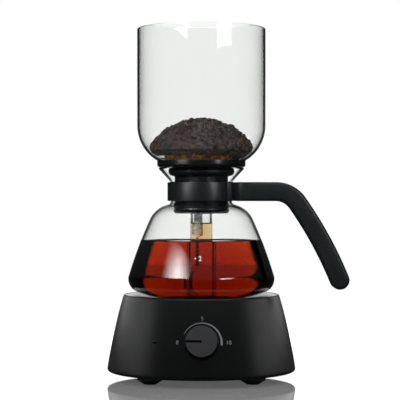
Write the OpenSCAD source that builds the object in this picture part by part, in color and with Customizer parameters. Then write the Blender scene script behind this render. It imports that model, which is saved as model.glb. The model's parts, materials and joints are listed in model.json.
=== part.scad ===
// Electric siphon coffee maker. A heater base carries a glass flask with a
// collar and handle. A glass upper bowl with a long stem and a rubber neck seal
// stands in the flask, and a cloth filter is held in it by a spring and chain.
// Origin on the table, on the axis of the vessels. +X to the handle, -Y front.

/* [Heater base] */
// Radius of the base at its lower edge
base_bottom_r = 72.5; // [71.5:0.5:74.5]
// Radius of the base at its upper edge
base_top_r = 59.7; // [59.2:0.1:60.7]
// How far the side of the base swells out between its two edges
base_swell = 1.1; // [0.6:0.1:1.4]
// Height of the upper edge of the base
base_top_z = 64.5; // [63.5:0.5:66]
// Height of the lower edge of the base above the table
base_gap = 6; // [5.5:0.5:6.5]
// Wall thickness of the moulded housing
wall_t = 2.4; // [2.2:0.1:2.6]
// Radius of the hot plate
hot_plate_r = 31.5; // [30.5:0.5:32]

/* [Control] */
// Height of the dial centre on the sloping front
dial_z = 33.5; // [33:0.5:36]
// Diameter of the knob
knob_d = 24; // [22:0.5:25]
// Height of the knob above the sloping front
knob_h = 8.5; // [7.5:0.5:10]

/* [Flask] */
// Thickness of the glass of both vessels
glass_t = 1.8; // [1.6:0.1:2]
// Radius of the round shoulder under the neck
shoulder_r = 20.8; // [20:0.2:21.6]
// Radius of the long curve of its side, seen in section
side_r = 330; // [250:10:500]
// Outer radius of the neck
neck_r = 23.7; // [23.5:0.1:24]
// Height of the coffee above the underside of the flask
coffee_level = 43.4; // [20:0.2:50]
// Height of the collar band round the neck
collar_h = 14.3; // [13.5:0.1:14.4]

/* [Handle] */
// Thickness of the handle seen from the front
handle_t = 14.6; // [13.6:0.2:15]
// Width of the handle seen from its end
handle_w = 16; // [15:0.5:18]
// Slope of the lower end of the grip below level
grip_slope = 67.8; // [64:0.1:70]
// Radius of the long curve of the grip
grip_r = 301; // [250:5:500]
// Distance of the lower end of the grip from the axis
grip_end_x = 106.3; // [100:0.5:108]
// Height of the lower end of the grip
grip_end_z = 75.5; // [72:0.5:85]

/* [Upper bowl] */
// Outer radius of the bowl
bowl_r = 49.5; // [49:0.1:50]
// Height of the bowl from its floor to its rim
bowl_h = 105.5; // [95:0.5:115]
// Radius of the round lower edge of the bowl
dome_r = 30.8; // [30:0.2:31.4]
// Outer radius of the stem
stem_r = 8.5; // [8.4:0.05:8.6]
// Height of the end of the stem above the underside of the flask
stem_gap = 9; // [9:0.2:11]

/* [Filter] */
// Radius of the filter in its cloth
cloth_r = 29; // [28:0.2:29.6]
// Thickness of the filter in its cloth
cloth_h = 7.6; // [7:0.2:8]
// Height of the heap of ground coffee above its edge
mound_h = 23; // [18:0.5:26]
// Number of turns of the filter spring
spring_turns = 16; // [12:1:18]

/* [Hidden] */
$fn = 96;

// Clearance between pieces of one body, and between pieces that move apart
seat_gap = 0.1;
move_gap = 0.3;

// Side of the housing, an arc through both edges: its radius and centre, and
// the radii of the two surfaces and their slope at a height
base_foot = [base_bottom_r, base_gap];
base_chord = [base_top_r, base_top_z] - base_foot;
base_side_r = pow(norm(base_chord), 2) / (8 * base_swell) + base_swell / 2;
base_side_c = base_foot + base_chord / 2
  - (base_side_r - base_swell) * [base_chord[1], -base_chord[0]] / norm(base_chord);
function base_r(z) = radius_at(z, 0);
function inner_r(z) = radius_at(z, wall_t);
function radius_at(z, d) =
  base_side_c[0] + sqrt(pow(base_side_r - d, 2) - pow(z - base_side_c[1], 2));
function slope_at(z, d = 0) = asin((z - base_side_c[1]) / (base_side_r - d));
bottom_edge_r = 2;
top_edge_r = 1.5;

// Ledge inside the upper edge that carries the top plate
plate_t = 1;
plate_r = base_top_r - 1.5;
ledge_z = base_top_z - 1.2;
ledge_inner_r = 54;
ledge_t = 1.8;
plate_flat_r = 52;
plate_well_r = 33;
plate_well_z = base_top_z - 2.9;
plate_skirt_z = base_top_z - 6.5;

// Heater under the hot plate
hot_plate_z = base_top_z - 2.7;
hot_plate_t = 3;
element_r = 21;
element_tube_r = 3.2;
element_z = hot_plate_z - hot_plate_t - element_tube_r - seat_gap;
element_turn = 296;
pan_r = hot_plate_r - 0.8;
pan_wall = 1.2;
pan_floor_z = hot_plate_z - hot_plate_t - 12.8;
pan_arm_w = 11;
cradle_screw_r = 55;
cradle_angles = [90, 210, 330];
hanging_post_r = 3.5;
thermostat_r = 8;

// Bottom cover, its screws and the feet
cover_t = 2.2;
cover_top_z = base_gap + cover_t;
cover_r = inner_r(cover_top_z) - 0.4;
cover_screw_circle_r = 62;
cover_angles = [60, 180, 300];
screw_boss_r = 4.6;
screw_boss_top = base_gap + 4.2;
housing_post_r = 4;
housing_post_top = 38;
foot_places = [for (a = [45 : 90 : 315]) 54 * [cos(a), sin(a)]];
foot_boss_r = 9.6;
foot_h = 2.8;
foot_boss_z = foot_h + 0.2;
foot_plug_r = 3;
vent_l = 26;
vent_w = 3;

// Screw sizes: shank radius, clear hole radius and head
m3_r = 1.45;
m3_hole_r = 1.5;
m3_head_r = 2.8;
m3_head_h = 2;

// Control board and what stands on it
board = [56, 34, 1.6];
board_c = [-22, -19];
board_z = cover_top_z + 9;
board_hole = [24, 13];
board_top = board_z + board[2];
block_c = [16, 38];
block = [30, 14, 13];

// Control behind the dial, in the frame of the sloping front
control_body_r = 8.5;
control_body_h = 8;
bushing_r = 3.5;
shaft_r = 3;
shaft_fit = 0.05;
pad_r = 11;
pad_inner = 4;
spot_r = 7.5;
spot_depth = 0.6;
knob_back = 0.5;
knob_wall = 1.9;
knob_boss_r = 5;
pointer_w = 1.3;
pointer_depth = 0.8;

// Indicator light, to the left of the dial
lamp_angle = 239.5;
lamp_z = 33.4;
lamp_r = 1.5;

// Cord gland in the back of the housing
gland_z = 20;
gland_bore_r = 3.6;
gland_body_r = 5.5;
gland_flange_r = 7.5;

// Outline of the flask: dished bottom, round corner, sloping side, round
// shoulder, neck and flared lip. Each arc has a centre and a radius.
flask_z = base_top_z - 2.5;
dish_r = 63;
dish_end = -68;
dish_c = [25.85, flask_z + dish_r];
corner_r = 10.8;
corner_c = dish_c + (dish_r - corner_r) * [cos(dish_end), sin(dish_end)];
shoulder_c = [20.9, flask_z + 51.5];
side_c = touching_c(corner_c, side_r - corner_r, shoulder_c, side_r - shoulder_r);
side_start = angle_of(corner_c - side_c);
side_end = angle_of(shoulder_c - side_c);
neck_fillet_r = 2.2;
neck_fillet_x = neck_r + neck_fillet_r;
neck_fillet_c = [neck_fillet_x, shoulder_c[1] + sqrt(pow(shoulder_r + neck_fillet_r, 2)
  - pow(neck_fillet_x - shoulder_c[0], 2))];
neck_angle = atan2(neck_fillet_c[1] - shoulder_c[1], neck_fillet_x - shoulder_c[0]);
neck_h = 12.45;
flare_r = 6;
flare_angle = 42;
flare_l = 11;
flare_c = [neck_r + flare_r, neck_fillet_c[1] + neck_h];
flare_normal = [cos(flare_angle), -sin(flare_angle)];
lip = flare_c - flare_r * flare_normal + flare_l * [sin(flare_angle), cos(flare_angle)];
lip_c = lip - glass_t / 2 * flare_normal;
lip_top_z = lip_c[1] + glass_t / 2;
level_z = flask_z + coffee_level;

// Collar and handle round the neck
collar_z = neck_fillet_c[1] + 0.35;
collar_mid_z = collar_z + collar_h / 2;
liner_r = neck_r + 0.57;
band_in_r = liner_r + 0.03;
band_t = 1.8;
band_r = band_in_r + band_t;
root_in_r = band_r + seat_gap;
lug_t = 2;
lug_gap = 1;
lug_end_x = 42;
lug_h = collar_h - 3.3;
clamp_x = 36;
clamp_r = 1.95;
clamp_head_r = 3.4;
bend_r = 20;
grip_c = [grip_end_x, grip_end_z] - grip_r * [sin(grip_slope), cos(grip_slope)];
bend_rise = collar_mid_z - bend_r - grip_c[1];
bend_reach = sqrt(pow(grip_r - bend_r, 2) - pow(bend_rise, 2));
bend_c = grip_c + [bend_reach, bend_rise];

// Upper bowl: rim, wall, round lower edge, floor and stem
bowl_floor_z = lip_top_z + 1.1;
bowl_rim_z = bowl_floor_z + bowl_h;
dome_c = [bowl_r - dome_r, bowl_floor_z + dome_r];
stem_fillet_r = 4;
stem_fillet_c = [stem_r + stem_fillet_r, bowl_floor_z - stem_fillet_r];
stem_in_r = stem_r - glass_t;
stem_end_z = flask_z + stem_gap;

// Neck seal
seal_bore_r = stem_r + seat_gap;
seal_disc_z = lip_top_z + move_gap;
seal_disc_angle = -60.3;
seal_disc_r = dome_c[0] + (dome_r + seat_gap) * cos(seal_disc_angle);
seal_edge_r = 1.6;
seal_rib_r = neck_r - glass_t - move_gap;
seal_groove_r = seal_rib_r - 1.1;
seal_bulge_c = [22.4, bowl_floor_z - 4.6];
seal_bulge_r = 3;
seal_rib_zs = [for (i = [0 : 4]) collar_z - 3.3 + i * 4];
seal_big_rib_z = collar_z - 6.6;
seal_end_z = collar_z - 8.8;

// Filter in the bottom of the bowl
cloth_z = bowl_floor_z + glass_t + 1;
cloth_c = [cloth_r - cloth_h / 2, cloth_z + cloth_h / 2];
cloth_t = 0.9;
disc_t = 1;
disc_hole_r = 1.2;
mound_r = 40;
mound_z = bowl_floor_z + 13;

// Spring, chain and hook hang off centre, beside the wall of the stem
chain_x = -2.4;
spring_r = 3.1;
spring_wire_r = 0.3;
spring_top_z = cloth_z - 1.2;
spring_end_z = level_z + 2.6;
bead_r = 1.2;
bead_pitch = 3.2;
bead_count = 8;
hook_wire_r = 0.6;
hook_bend_r = 1.85;
hook_c = [-(stem_r - glass_t / 2), stem_end_z + glass_t / 2];
hook_tip_h = 4.2;
tube_level_z = level_z + 13.1;
tube_liquid_r = stem_in_r - 0.1;
tube_bore_r = 3.8;
stem_clear_r = stem_r + 2.3;

// Points of an arc about c, from angle a0 to a1 in n steps
function arc(c, r, a0, a1, n) =
  [for (i = [0 : n]) let (a = a0 + (a1 - a0) * i / n) c + r * [cos(a), sin(a)]];

// The same without its two ends
function mid_arc(c, r, a0, a1, n) = let (step = (a1 - a0) / n)
  arc(c, r, a0 + step, a1 - step, n - 2);

function angle_of(v) = atan2(v[1], v[0]);

// Centre of an arc that lies a from p and b from q, to the left of p to q
function touching_c(p, a, q, b) =
  let (d = norm(q - p), u = (q - p) / d, along = (a * a - b * b + d * d) / (2 * d))
  p + along * u + sqrt(a * a - along * along) * [-u[1], u[0]];

// Outline of the flask, d inside its outer surface, from the axis to the lip
function flask_side(d) = concat(
  [[0, flask_z + d]],
  arc(dish_c, dish_r - d, -90, dish_end, 6),
  mid_arc(corner_c, corner_r - d, dish_end, side_start, 14),
  arc(side_c, side_r - d, side_start, side_end, 4),
  mid_arc(shoulder_c, shoulder_r - d, side_end, neck_angle, 12),
  arc(neck_fillet_c, neck_fillet_r + d, neck_angle + 180, 180, 5),
  arc(flare_c, flare_r + d, 180, 180 - flare_angle, 6),
  [lip - d * flare_normal]);

// Outline of the bowl and stem, d inside the outer surface, from stem to rim
function bowl_side(d) = concat(
  arc(stem_fillet_c, stem_fillet_r + d, 180, 90, 6),
  arc(dome_c, dome_r - d, -90, 0, 18));

// Inner radius of the flask at a height, by its outline d inside the glass
function cut_level(points, z) = concat(
  [for (p = points) if (p[1] < z) p],
  [for (i = [0 : len(points) - 2]) let (a = points[i], b = points[i + 1])
    if (a[1] < z && b[1] >= z) a + (b - a) * (z - a[1]) / (b[1] - a[1])]);

// A round rib of the neck seal, seen in section, from its foot to its top
function rib(z, r, w) = arc([r - w / 2, z], w / 2, -90, 90, 6);

function unit(v) = v / norm(v);
function path_dir(path, i) =
  unit(path[min(i + 1, len(path) - 1)] - path[max(i - 1, 0)]);

// One ring of points round a path, in the plane square to it
function ring_at(c, dir, ref, section) =
  let (u = unit(cross(dir, ref)), v = cross(dir, u))
  [for (p = section) c + p[0] * u + p[1] * v];

// Triangles that join equal rings of points into one closed solid
function ring_faces(rings, n) = concat(
  [[for (k = [0 : n - 1]) k]],
  [for (i = [0 : rings - 2], k = [0 : n - 1])
    let (a = i * n + k, b = i * n + (k + 1) % n) each [[a, a + n, b], [b, a + n, b + n]]],
  [[for (k = [n - 1 : -1 : 0]) (rings - 1) * n + k]]);

function circle_points(r, n) = arc([0, 0], r, 0, 360 * (n - 1) / n, n - 1);

// Moves children to the sloping front of the housing, +Z pointing outwards
module on_front(angle, z) {
  rotate([0, 0, angle + 90])
    translate([0, -base_r(z), z])
      rotate([90 - slope_at(z), 0, 0])
        children();
}

module at_angles(angles, r) {
  for (a = angles)
    rotate([0, 0, a])
      translate([r, 0, 0])
        children();
}

module at_corners(c, d) {
  for (x = [-1, 1], y = [-1, 1])
    translate([c[0] + x * d[0], c[1] + y * d[1], 0])
      children();
}

// Tube from z0 to z1
module tube(r_out, r_in, z0, z1) {
  translate([0, 0, z0])
    difference() {
      cylinder(r = r_out, h = z1 - z0);
      translate([0, 0, -1])
        cylinder(r = r_in, h = z1 - z0 + 2);
    }
}

module post(r, z0, z1) {
  translate([0, 0, z0])
    cylinder(r = r, h = z1 - z0);
}

// Block centred on c in plan, standing on z
module block_on(c, size, z) {
  translate([c[0] - size[0] / 2, c[1] - size[1] / 2, z])
    cube(size);
}

// Bent wire or cable along a path
module wire(path, r, sides, ref) {
  section = circle_points(r, sides);
  points = [for (i = [0 : len(path) - 1])
    each ring_at(path[i], path_dir(path, i), ref, section)];
  polyhedron(points, ring_faces(len(path), sides), 6);
}

// Pan-head screw, head below and shank upwards from z
module screw_up(z, shank_l) {
  post(m3_head_r, z - m3_head_h, z);
  post(m3_r, z - 0.5, z + shank_l);
}

module base_housing() {
  color("#1b1c1e")
    difference() {
      union() {
        housing_shell();
        intersection() {
          union() {
            at_angles(cover_angles, cover_screw_circle_r)
              post(housing_post_r, screw_boss_top, housing_post_top);
            on_front(270, dial_z)
              post(pad_r, -pad_inner, -1);
            on_front(90, gland_z)
              post(gland_flange_r + 2, -pad_inner, -1);
          }
          post(base_bottom_r, base_gap, base_top_z - 1);
        }
        at_angles(cradle_angles, cradle_screw_r)
          post(hanging_post_r, pan_floor_z + pan_wall, ledge_z - 0.3);
      }
      at_angles(cover_angles, cover_screw_circle_r)
        post(m3_hole_r, screw_boss_top - 1, screw_boss_top + 12);
      at_angles(cradle_angles, cradle_screw_r)
        post(m3_hole_r, pan_floor_z, pan_floor_z + pan_wall + 11);
      on_front(270, dial_z) {
        post(bushing_r + 0.1, -pad_inner - 1, 2);
        post(spot_r, -spot_depth, 2);
      }
      on_front(lamp_angle, lamp_z)
        post(lamp_r + 0.05, -6, 2);
      on_front(90, gland_z) {
        post(gland_body_r + 0.1, -pad_inner - 1, 2);
        post(gland_flange_r + 0.3, -spot_depth, 2);
      }
    }
}

// Swelling cone with a rounded foot and lip, and the ledge for the top plate
module housing_shell() {
  bottom_z = base_gap + bottom_edge_r;
  bottom_a = slope_at(bottom_z, bottom_edge_r);
  top_z = base_top_z - top_edge_r;
  top_a = slope_at(top_z, top_edge_r);
  ledge_foot_z = ledge_z - ledge_t;
  rotate_extrude()
    polygon(concat(
      arc([radius_at(bottom_z, bottom_edge_r), bottom_z], bottom_edge_r, -90, bottom_a, 5),
      mid_arc(base_side_c, base_side_r, bottom_a, top_a, 7),
      arc([radius_at(top_z, top_edge_r), top_z], top_edge_r, top_a, 90, 5),
      [[plate_r + 0.2, base_top_z],
        [plate_r + 0.2, ledge_z],
        [ledge_inner_r, ledge_z],
        [ledge_inner_r, ledge_foot_z]],
      arc(base_side_c, base_side_r - wall_t,
        slope_at(ledge_foot_z, wall_t), slope_at(base_gap, wall_t), 6)));
}

// Pressed steel plate: flat rim, sloping well and a skirt round the hot plate
module top_plate() {
  edge = 0.6;
  color("#b9bcc0")
    rotate_extrude()
      polygon([
        [plate_r, ledge_z],
        [plate_r, ledge_z + plate_t - edge / 2],
        [plate_r - edge / 2, ledge_z + plate_t],
        [plate_flat_r, ledge_z + plate_t],
        [plate_flat_r - 2, ledge_z + plate_t - 0.15],
        [plate_well_r + 2, plate_well_z + 0.15],
        [plate_well_r + 0.6, plate_well_z - 0.1],
        [plate_well_r, plate_well_z - 0.7],
        [plate_well_r, plate_skirt_z],
        [plate_well_r + plate_t, plate_skirt_z],
        [plate_well_r + plate_t, plate_well_z - plate_t - 0.4],
        [plate_well_r + 2.1, plate_well_z - plate_t + 0.15],
        [plate_flat_r - 2, ledge_z - 0.15],
        [plate_flat_r + 0.1, ledge_z]]);
}

module hot_plate() {
  edge = 0.8;
  color("#3a3b3d")
    rotate_extrude()
      polygon([
        [0, hot_plate_z - hot_plate_t],
        [hot_plate_r, hot_plate_z - hot_plate_t],
        [hot_plate_r, hot_plate_z - edge],
        [hot_plate_r - edge, hot_plate_z],
        [0, hot_plate_z]]);
}

// Sheathed tube bent to an open ring, with a sleeve and a tab at each end
module heating_element() {
  start = 270 - element_turn / 2;
  color("#8b8d90") {
    translate([0, 0, element_z])
      rotate([0, 0, start])
        rotate_extrude(angle = element_turn)
          translate([element_r, 0])
            circle(r = element_tube_r);
    at_angles(element_ends(), element_r) {
      post(element_tube_r + 0.4, element_z - 6, element_z + element_tube_r - 0.4);
      post(element_tube_r - 0.6, element_z - 14, element_z);
      translate([-0.4, -3.1, element_z - 22])
        cube([0.8, 6.2, 9]);
    }
  }
}

function element_ends() = [270 - element_turn / 2, 270 + element_turn / 2];

// Pressed pan that holds the element to the hot plate, on three arms
module heater_cradle() {
  rim_z = hot_plate_z - hot_plate_t;
  color("#a9acaf")
    difference() {
      union() {
        post(pan_r, pan_floor_z, rim_z);
        at_angles(cradle_angles, 0)
          translate([pan_r - 2, -pan_arm_w / 2, pan_floor_z])
            cube([cradle_screw_r - pan_r + 2, pan_arm_w, pan_wall]);
        at_angles(cradle_angles, cradle_screw_r)
          post(pan_arm_w / 2, pan_floor_z, pan_floor_z + pan_wall);
      }
      post(pan_r - pan_wall, pan_floor_z + pan_wall, rim_z + 1);
      at_angles(cradle_angles, cradle_screw_r)
        post(m3_hole_r, pan_floor_z - 1, pan_floor_z + 2);
      at_angles(element_ends(), element_r)
        post(element_tube_r + 0.4, pan_floor_z - 1, pan_floor_z + 2);
      post(thermostat_r - 1.5, pan_floor_z - 1, pan_floor_z + 2);
    }
}

module cradle_screws() {
  color("#c4c6c8")
    at_angles(cradle_angles, cradle_screw_r)
      screw_up(pan_floor_z, 10);
}

// Disc thermostat pressed against the hot plate, with two tabs
module thermostat() {
  top = hot_plate_z - hot_plate_t;
  color("#d8d5cc") {
    post(thermostat_r, top - 5, top);
    post(thermostat_r - 2, top - 9, top - 5);
    for (x = [-3.2, 3.2])
      translate([x - 0.4, -2, top - 17])
        cube([0.8, 4, 8]);
  }
}

module control_board() {
  color("#2d5c3c")
    difference() {
      block_on(board_c, board, board_z);
      at_corners(board_c, board_hole)
        post(1.6, board_z - 1, board_top + 1);
    }
}

// Relay, film capacitor, two electrolytic capacitors, choke and connectors
module board_components() {
  relay = [[-11, 3], [17, 12.5, 14]];
  film_capacitor = [[7, 13.5], [13, 6, 11]];
  connectors = [[[8, -13.5], [10, 5, 8]], [[-16, -12.5], [8, 5, 6]]];
  capacitor_places = [[5, 5], [12.5, 5]];
  capacitor_size = [3.2, 12];
  choke_place = [-4, -9];
  choke_size = [5.5, 2.2, 7];
  color("#3c4a68") {
    for (part = [relay, film_capacitor, each connectors])
      block_on(board_c + part[0], part[1], board_top);
    for (place = capacitor_places)
      translate(board_c + place)
        post(capacitor_size[0], board_top, board_top + capacitor_size[1]);
    translate(board_c + choke_place)
      tube(choke_size[0], choke_size[1], board_top, board_top + choke_size[2]);
  }
}

// Finned heat sink that the power switch is clipped to
module heat_sink() {
  fins = 5;
  fin_pitch = 3.4;
  sink_h = 15;
  c = board_c + [21.5, 0];
  color("#9a9da1") {
    block_on(c - [3.2, 0], [1.8, sink_h, sink_h], board_top);
    for (i = [0 : fins - 1])
      block_on(c + [0.2, (i - (fins - 1) / 2) * fin_pitch], [5.2, 1.2, sink_h], board_top);
  }
}

module board_screws() {
  color("#c4c6c8")
    at_corners(board_c, board_hole) {
      post(m3_r, cover_top_z + 3, board_top + 0.2);
      post(m3_head_r, board_top, board_top + 1.8);
    }
}

// Three-way screw terminal on the cover, beside the gland
module terminal_block() {
  color("#e5e2d8")
    difference() {
      block_on(block_c, block, cover_top_z);
      for (i = [-1 : 1])
        translate([block_c[0] + i * 9, block_c[1], 0]) {
          post(2.2, cover_top_z + block[2] - 5, cover_top_z + block[2] + 1);
          translate([0, 0, cover_top_z + 5])
            rotate([90, 0, 0])
              cylinder(r = 1.8, h = block[1] + 2, center = true);
        }
    }
}

// Two sleeved leads from the terminal block up to the tabs of the element
module heater_leads() {
  tab_z = element_z - 23.4;
  block_z = cover_top_z + 5;
  lead_r = 1.1;
  color("#b8402e")
    for (i = [0, 1]) {
      a = element_ends()[i];
      tab = [element_r * cos(a), element_r * sin(a), tab_z];
      start = [block_c[0] - 9 + 9 * i, block_c[1] - block[1] / 2 - 0.2, block_z];
      wire(lead_path(start, start - [0, 14, 0], tab - [0, 0, 12], tab), lead_r, 8, [1, 0, 0.02]);
    }
}

// Cubic curve through four guide points
function lead_path(p0, p1, p2, p3) = [for (i = [0 : 12]) let (t = i / 12, s = 1 - t)
  s * s * s * p0 + 3 * s * s * t * p1 + 3 * s * t * t * p2 + t * t * t * p3];

// Three leads from the gland to the back of the terminal block
module mains_leads() {
  block_z = cover_top_z + 5;
  y0 = inner_r(gland_z) - 12;
  color("#4d4f53")
    for (i = [-1 : 1]) {
      start = [i * 2.2, y0, gland_z - 2.8];
      end = [block_c[0] + i * 9, block_c[1] + block[1] / 2 + 0.2, block_z];
      wire(lead_path(start, start - [0, 5, 1], end + [0, 5, 0], end), 1, 8, [0, 0, 1]);
    }
}

// Rotary control: body, threaded bushing and three tags, bored for its shaft
module rotary_control() {
  body_z = -pad_inner - control_body_h;
  color("#8d8f92")
    on_front(270, dial_z) {
      difference() {
        union() {
          post(control_body_r, body_z, -pad_inner);
          post(bushing_r, body_z + 1, 3);
        }
        post(shaft_r + shaft_fit, body_z + 1.8, 4);
      }
      for (x = [-1 : 1])
        translate([x * 5 - 1, -control_body_r + 4, body_z - 5])
          cube([2, 0.6, 6]);
    }
}

module control_washer() {
  color("#c4c6c8")
    on_front(270, dial_z)
      tube(7, bushing_r + 0.05, -spot_depth, 0);
}

module control_nut() {
  across_flats = 10;
  color("#c4c6c8")
    on_front(270, dial_z)
      difference() {
        cylinder(r = across_flats / 2 / cos(30), h = 2.2, $fn = 6);
        post(bushing_r + 0.02, -1, 3);
      }
}

// Dished cover with vents, screw bosses, board posts and bosses for the feet
module bottom_cover() {
  color("#232426")
    difference() {
      union() {
        post(cover_r, base_gap, cover_top_z);
        at_angles(cover_angles, cover_screw_circle_r)
          post(screw_boss_r, base_gap, screw_boss_top);
        for (p = foot_places)
          translate(p)
            post(foot_boss_r, foot_boss_z, cover_top_z);
        at_corners(board_c, board_hole)
          post(3.2, base_gap, board_z);
      }
      at_angles(cover_angles, cover_screw_circle_r) {
        post(m3_head_r + 0.3, base_gap - 1, base_gap + 2.3);
        post(m3_hole_r, base_gap, screw_boss_top + 1);
      }
      for (p = foot_places)
        translate(p)
          post(foot_plug_r, foot_boss_z - 1, cover_top_z + 1);
      at_corners(board_c, board_hole)
        post(m3_hole_r, cover_top_z + 2, board_z + 1);
      vents();
    }
}

// Two banks of slots with round ends
module vents() {
  for (side = [-1, 1], i = [-2 : 2])
    translate([side * 24, i * 7, base_gap - 1]) {
      translate([-vent_l / 2, -vent_w / 2, 0])
        cube([vent_l, vent_w, cover_t + 2]);
      for (x = [-vent_l / 2, vent_l / 2])
        translate([x, 0, 0])
          cylinder(r = vent_w / 2, h = cover_t + 2);
    }
}

module cover_screws() {
  color("#c4c6c8")
    at_angles(cover_angles, cover_screw_circle_r)
      screw_up(base_gap + 2.3, 13);
}

// Push-in feet: tapered pad, plug and barbed end
module rubber_feet() {
  color("#161616")
    for (p = foot_places)
      translate(p)
        rotate_extrude()
          polygon([
            [0, 0],
            [foot_boss_r - 4.3, 0],
            [foot_boss_r - 3.7, 0.5],
            [foot_boss_r - 0.6, foot_boss_z],
            [foot_plug_r - 0.05, foot_boss_z],
            [foot_plug_r - 0.05, cover_top_z],
            [foot_plug_r + 0.7, cover_top_z],
            [foot_plug_r - 0.6, cover_top_z + 2.4],
            [0, cover_top_z + 2.4]]);
}

// Clear light guide through the wall, with a flange behind it
module indicator_lens() {
  crown_r = lamp_r * 1.3;
  flange_z = -wall_t - 0.3;
  color("#e8ece8")
    on_front(lamp_angle, lamp_z)
      rotate_extrude()
        polygon(concat(
          [[0, flange_z - 2], [lamp_r + 1, flange_z - 2], [lamp_r + 1, flange_z],
            [lamp_r, flange_z]],
          arc([0, -sqrt(crown_r * crown_r - lamp_r * lamp_r)], crown_r,
            acos(lamp_r / crown_r), 90, 5)));
}

// Light-emitting diode behind the guide, on two leads down to the board
module indicator_led() {
  start_z = -wall_t - 2.4;
  color("#cfd4cf") {
    on_front(lamp_angle, lamp_z) {
      post(1.5, start_z - 3.6, start_z);
      post(1.9, start_z - 4.6, start_z - 3.6);
    }
    for (i = [-1, 1])
      wire(led_lead(i * 0.8), 0.3, 6, [0, 0.1, 1]);
  }
}

// A lead from the diode, level for a little and then down to the board's edge
function led_lead(side) =
  let (out = [cos(lamp_angle), sin(lamp_angle), 0], across = [-out[1], out[0], 0],
    r0 = base_r(lamp_z) - wall_t - 7, start = r0 * out + side * across + [0, 0, lamp_z - 1.6],
    end = [board_c[0] - 10.8 + side, board_c[1] - board[1] / 2 + 1.8, board_top + 0.1])
  lead_path(start, start - 9 * out, end + [0, 0, 12], end);

// Strain relief bushing, open for a cord, with its lock ring inside
module cord_gland() {
  color("#1a1a1b")
    on_front(90, gland_z)
      difference() {
        union() {
          post(gland_flange_r, -spot_depth, 2.2);
          post(gland_body_r, -9, 0);
          post(gland_flange_r, -pad_inner - 3, -pad_inner);
        }
        post(gland_bore_r, -10, 3);
      }
}

// Hollow knob with a boss for the shaft and a pointer groove on its face
module control_knob() {
  r = knob_d / 2;
  edge = 0.5;
  color("#505256")
    on_front(270, dial_z)
      difference() {
        union() {
          difference() {
            rotate_extrude()
              polygon([
                [0, knob_back],
                [r + 0.3, knob_back],
                [r, knob_h - edge],
                [r - edge, knob_h],
                [0, knob_h]]);
            post(r - knob_wall + 0.3, knob_back - 1, knob_h - 2);
          }
          post(knob_boss_r, 3.4, knob_h - 1);
        }
        difference() {
          post(shaft_r + 0.02, 2, 6.9);
          translate([-shaft_r, shaft_r - 0.98, 3.6])
            cube([shaft_r * 2, 2, 4]);
        }
        translate([-r - 1, -pointer_w / 2, knob_h - pointer_depth])
          cube([r + 1, pointer_w, pointer_depth + 1]);
      }
}

module control_shaft() {
  color("#c4c6c8")
    on_front(270, dial_z)
      difference() {
        post(shaft_r, -pad_inner - control_body_h + 2, 6.8);
        translate([-shaft_r, shaft_r - 1, 3.6])
          cube([shaft_r * 2, 2, 4]);
      }
}

// Blown glass flask, one wall from the dished bottom to the rounded lip
module flask() {
  inner = flask_side(glass_t);
  color("#dfe9ec", 0.45)
    rotate_extrude()
      polygon(concat(
        flask_side(0),
        arc(lip_c, glass_t / 2, -flare_angle, 180 - flare_angle, 6),
        [for (i = [len(inner) - 1 : -1 : 0]) inner[i]]));
}

// Coffee in the flask, clear of the stem
module brewed_coffee() {
  side = cut_level(flask_side(glass_t + 0.05), level_z);
  color("#5c140c")
    difference() {
      rotate_extrude()
        polygon(concat(side, [[0, level_z]]));
      post(stem_clear_r, flask_z, level_z + 1);
    }
}

// Thin liner between the glass neck and the band
module collar_liner() {
  color("#2a2a2b")
    tube(liner_r, neck_r + 0.05, collar_z + 0.2, flare_c[1] + 0.1);
}

// Split steel band with two lugs that the clamp screw draws together
module collar_band() {
  color("#1c1d1f")
    difference() {
      union() {
        tube(band_r, band_in_r, collar_z, collar_z + collar_h);
        for (s = [-1, 1])
          translate([band_r - 1, s * (lug_gap + lug_t / 2) - lug_t / 2, collar_mid_z - lug_h / 2])
            cube([lug_end_x - band_r + 1, lug_t, lug_h]);
      }
      translate([band_in_r - 2, -lug_gap, collar_z - 1])
        cube([lug_end_x, 2 * lug_gap, collar_h + 2]);
      translate([clamp_x, 0, collar_mid_z])
        rotate([90, 0, 0])
          cylinder(r = clamp_r + 0.05, h = 20, center = true);
    }
}

// Centre line of the handle: level arm, bend and bowed grip
function handle_path() =
  let (start_x = 30, turn = atan2(bend_rise, bend_reach), dir = [cos(grip_slope), -sin(grip_slope)])
  concat(
    [[start_x, collar_mid_z], [(start_x + bend_c[0]) / 2, collar_mid_z]],
    arc(bend_c, bend_r, 90, turn, 8),
    mid_arc(grip_c, grip_r, turn, 90 - grip_slope, 7),
    [for (a = [0 : 15 : 75]) [grip_end_x, grip_end_z] + handle_t / 2 * sin(a) * dir]);

// Share of the full section along the handle, rounding off its lower end
function handle_scale(i, n) = i < n - 5 ? 1 : cos((i - n + 6) * 15);

// Section of the handle: a rounded block
function handle_section(k) = let (m = 3.4, w = handle_w / 2 - m, t = handle_t / 2 - m)
  k * concat(arc([t, w], m, 0, 90, 4), arc([-t, w], m, 90, 180, 4),
    arc([-t, -w], m, 180, 270, 4), arc([t, -w], m, 270, 360, 4));

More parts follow.
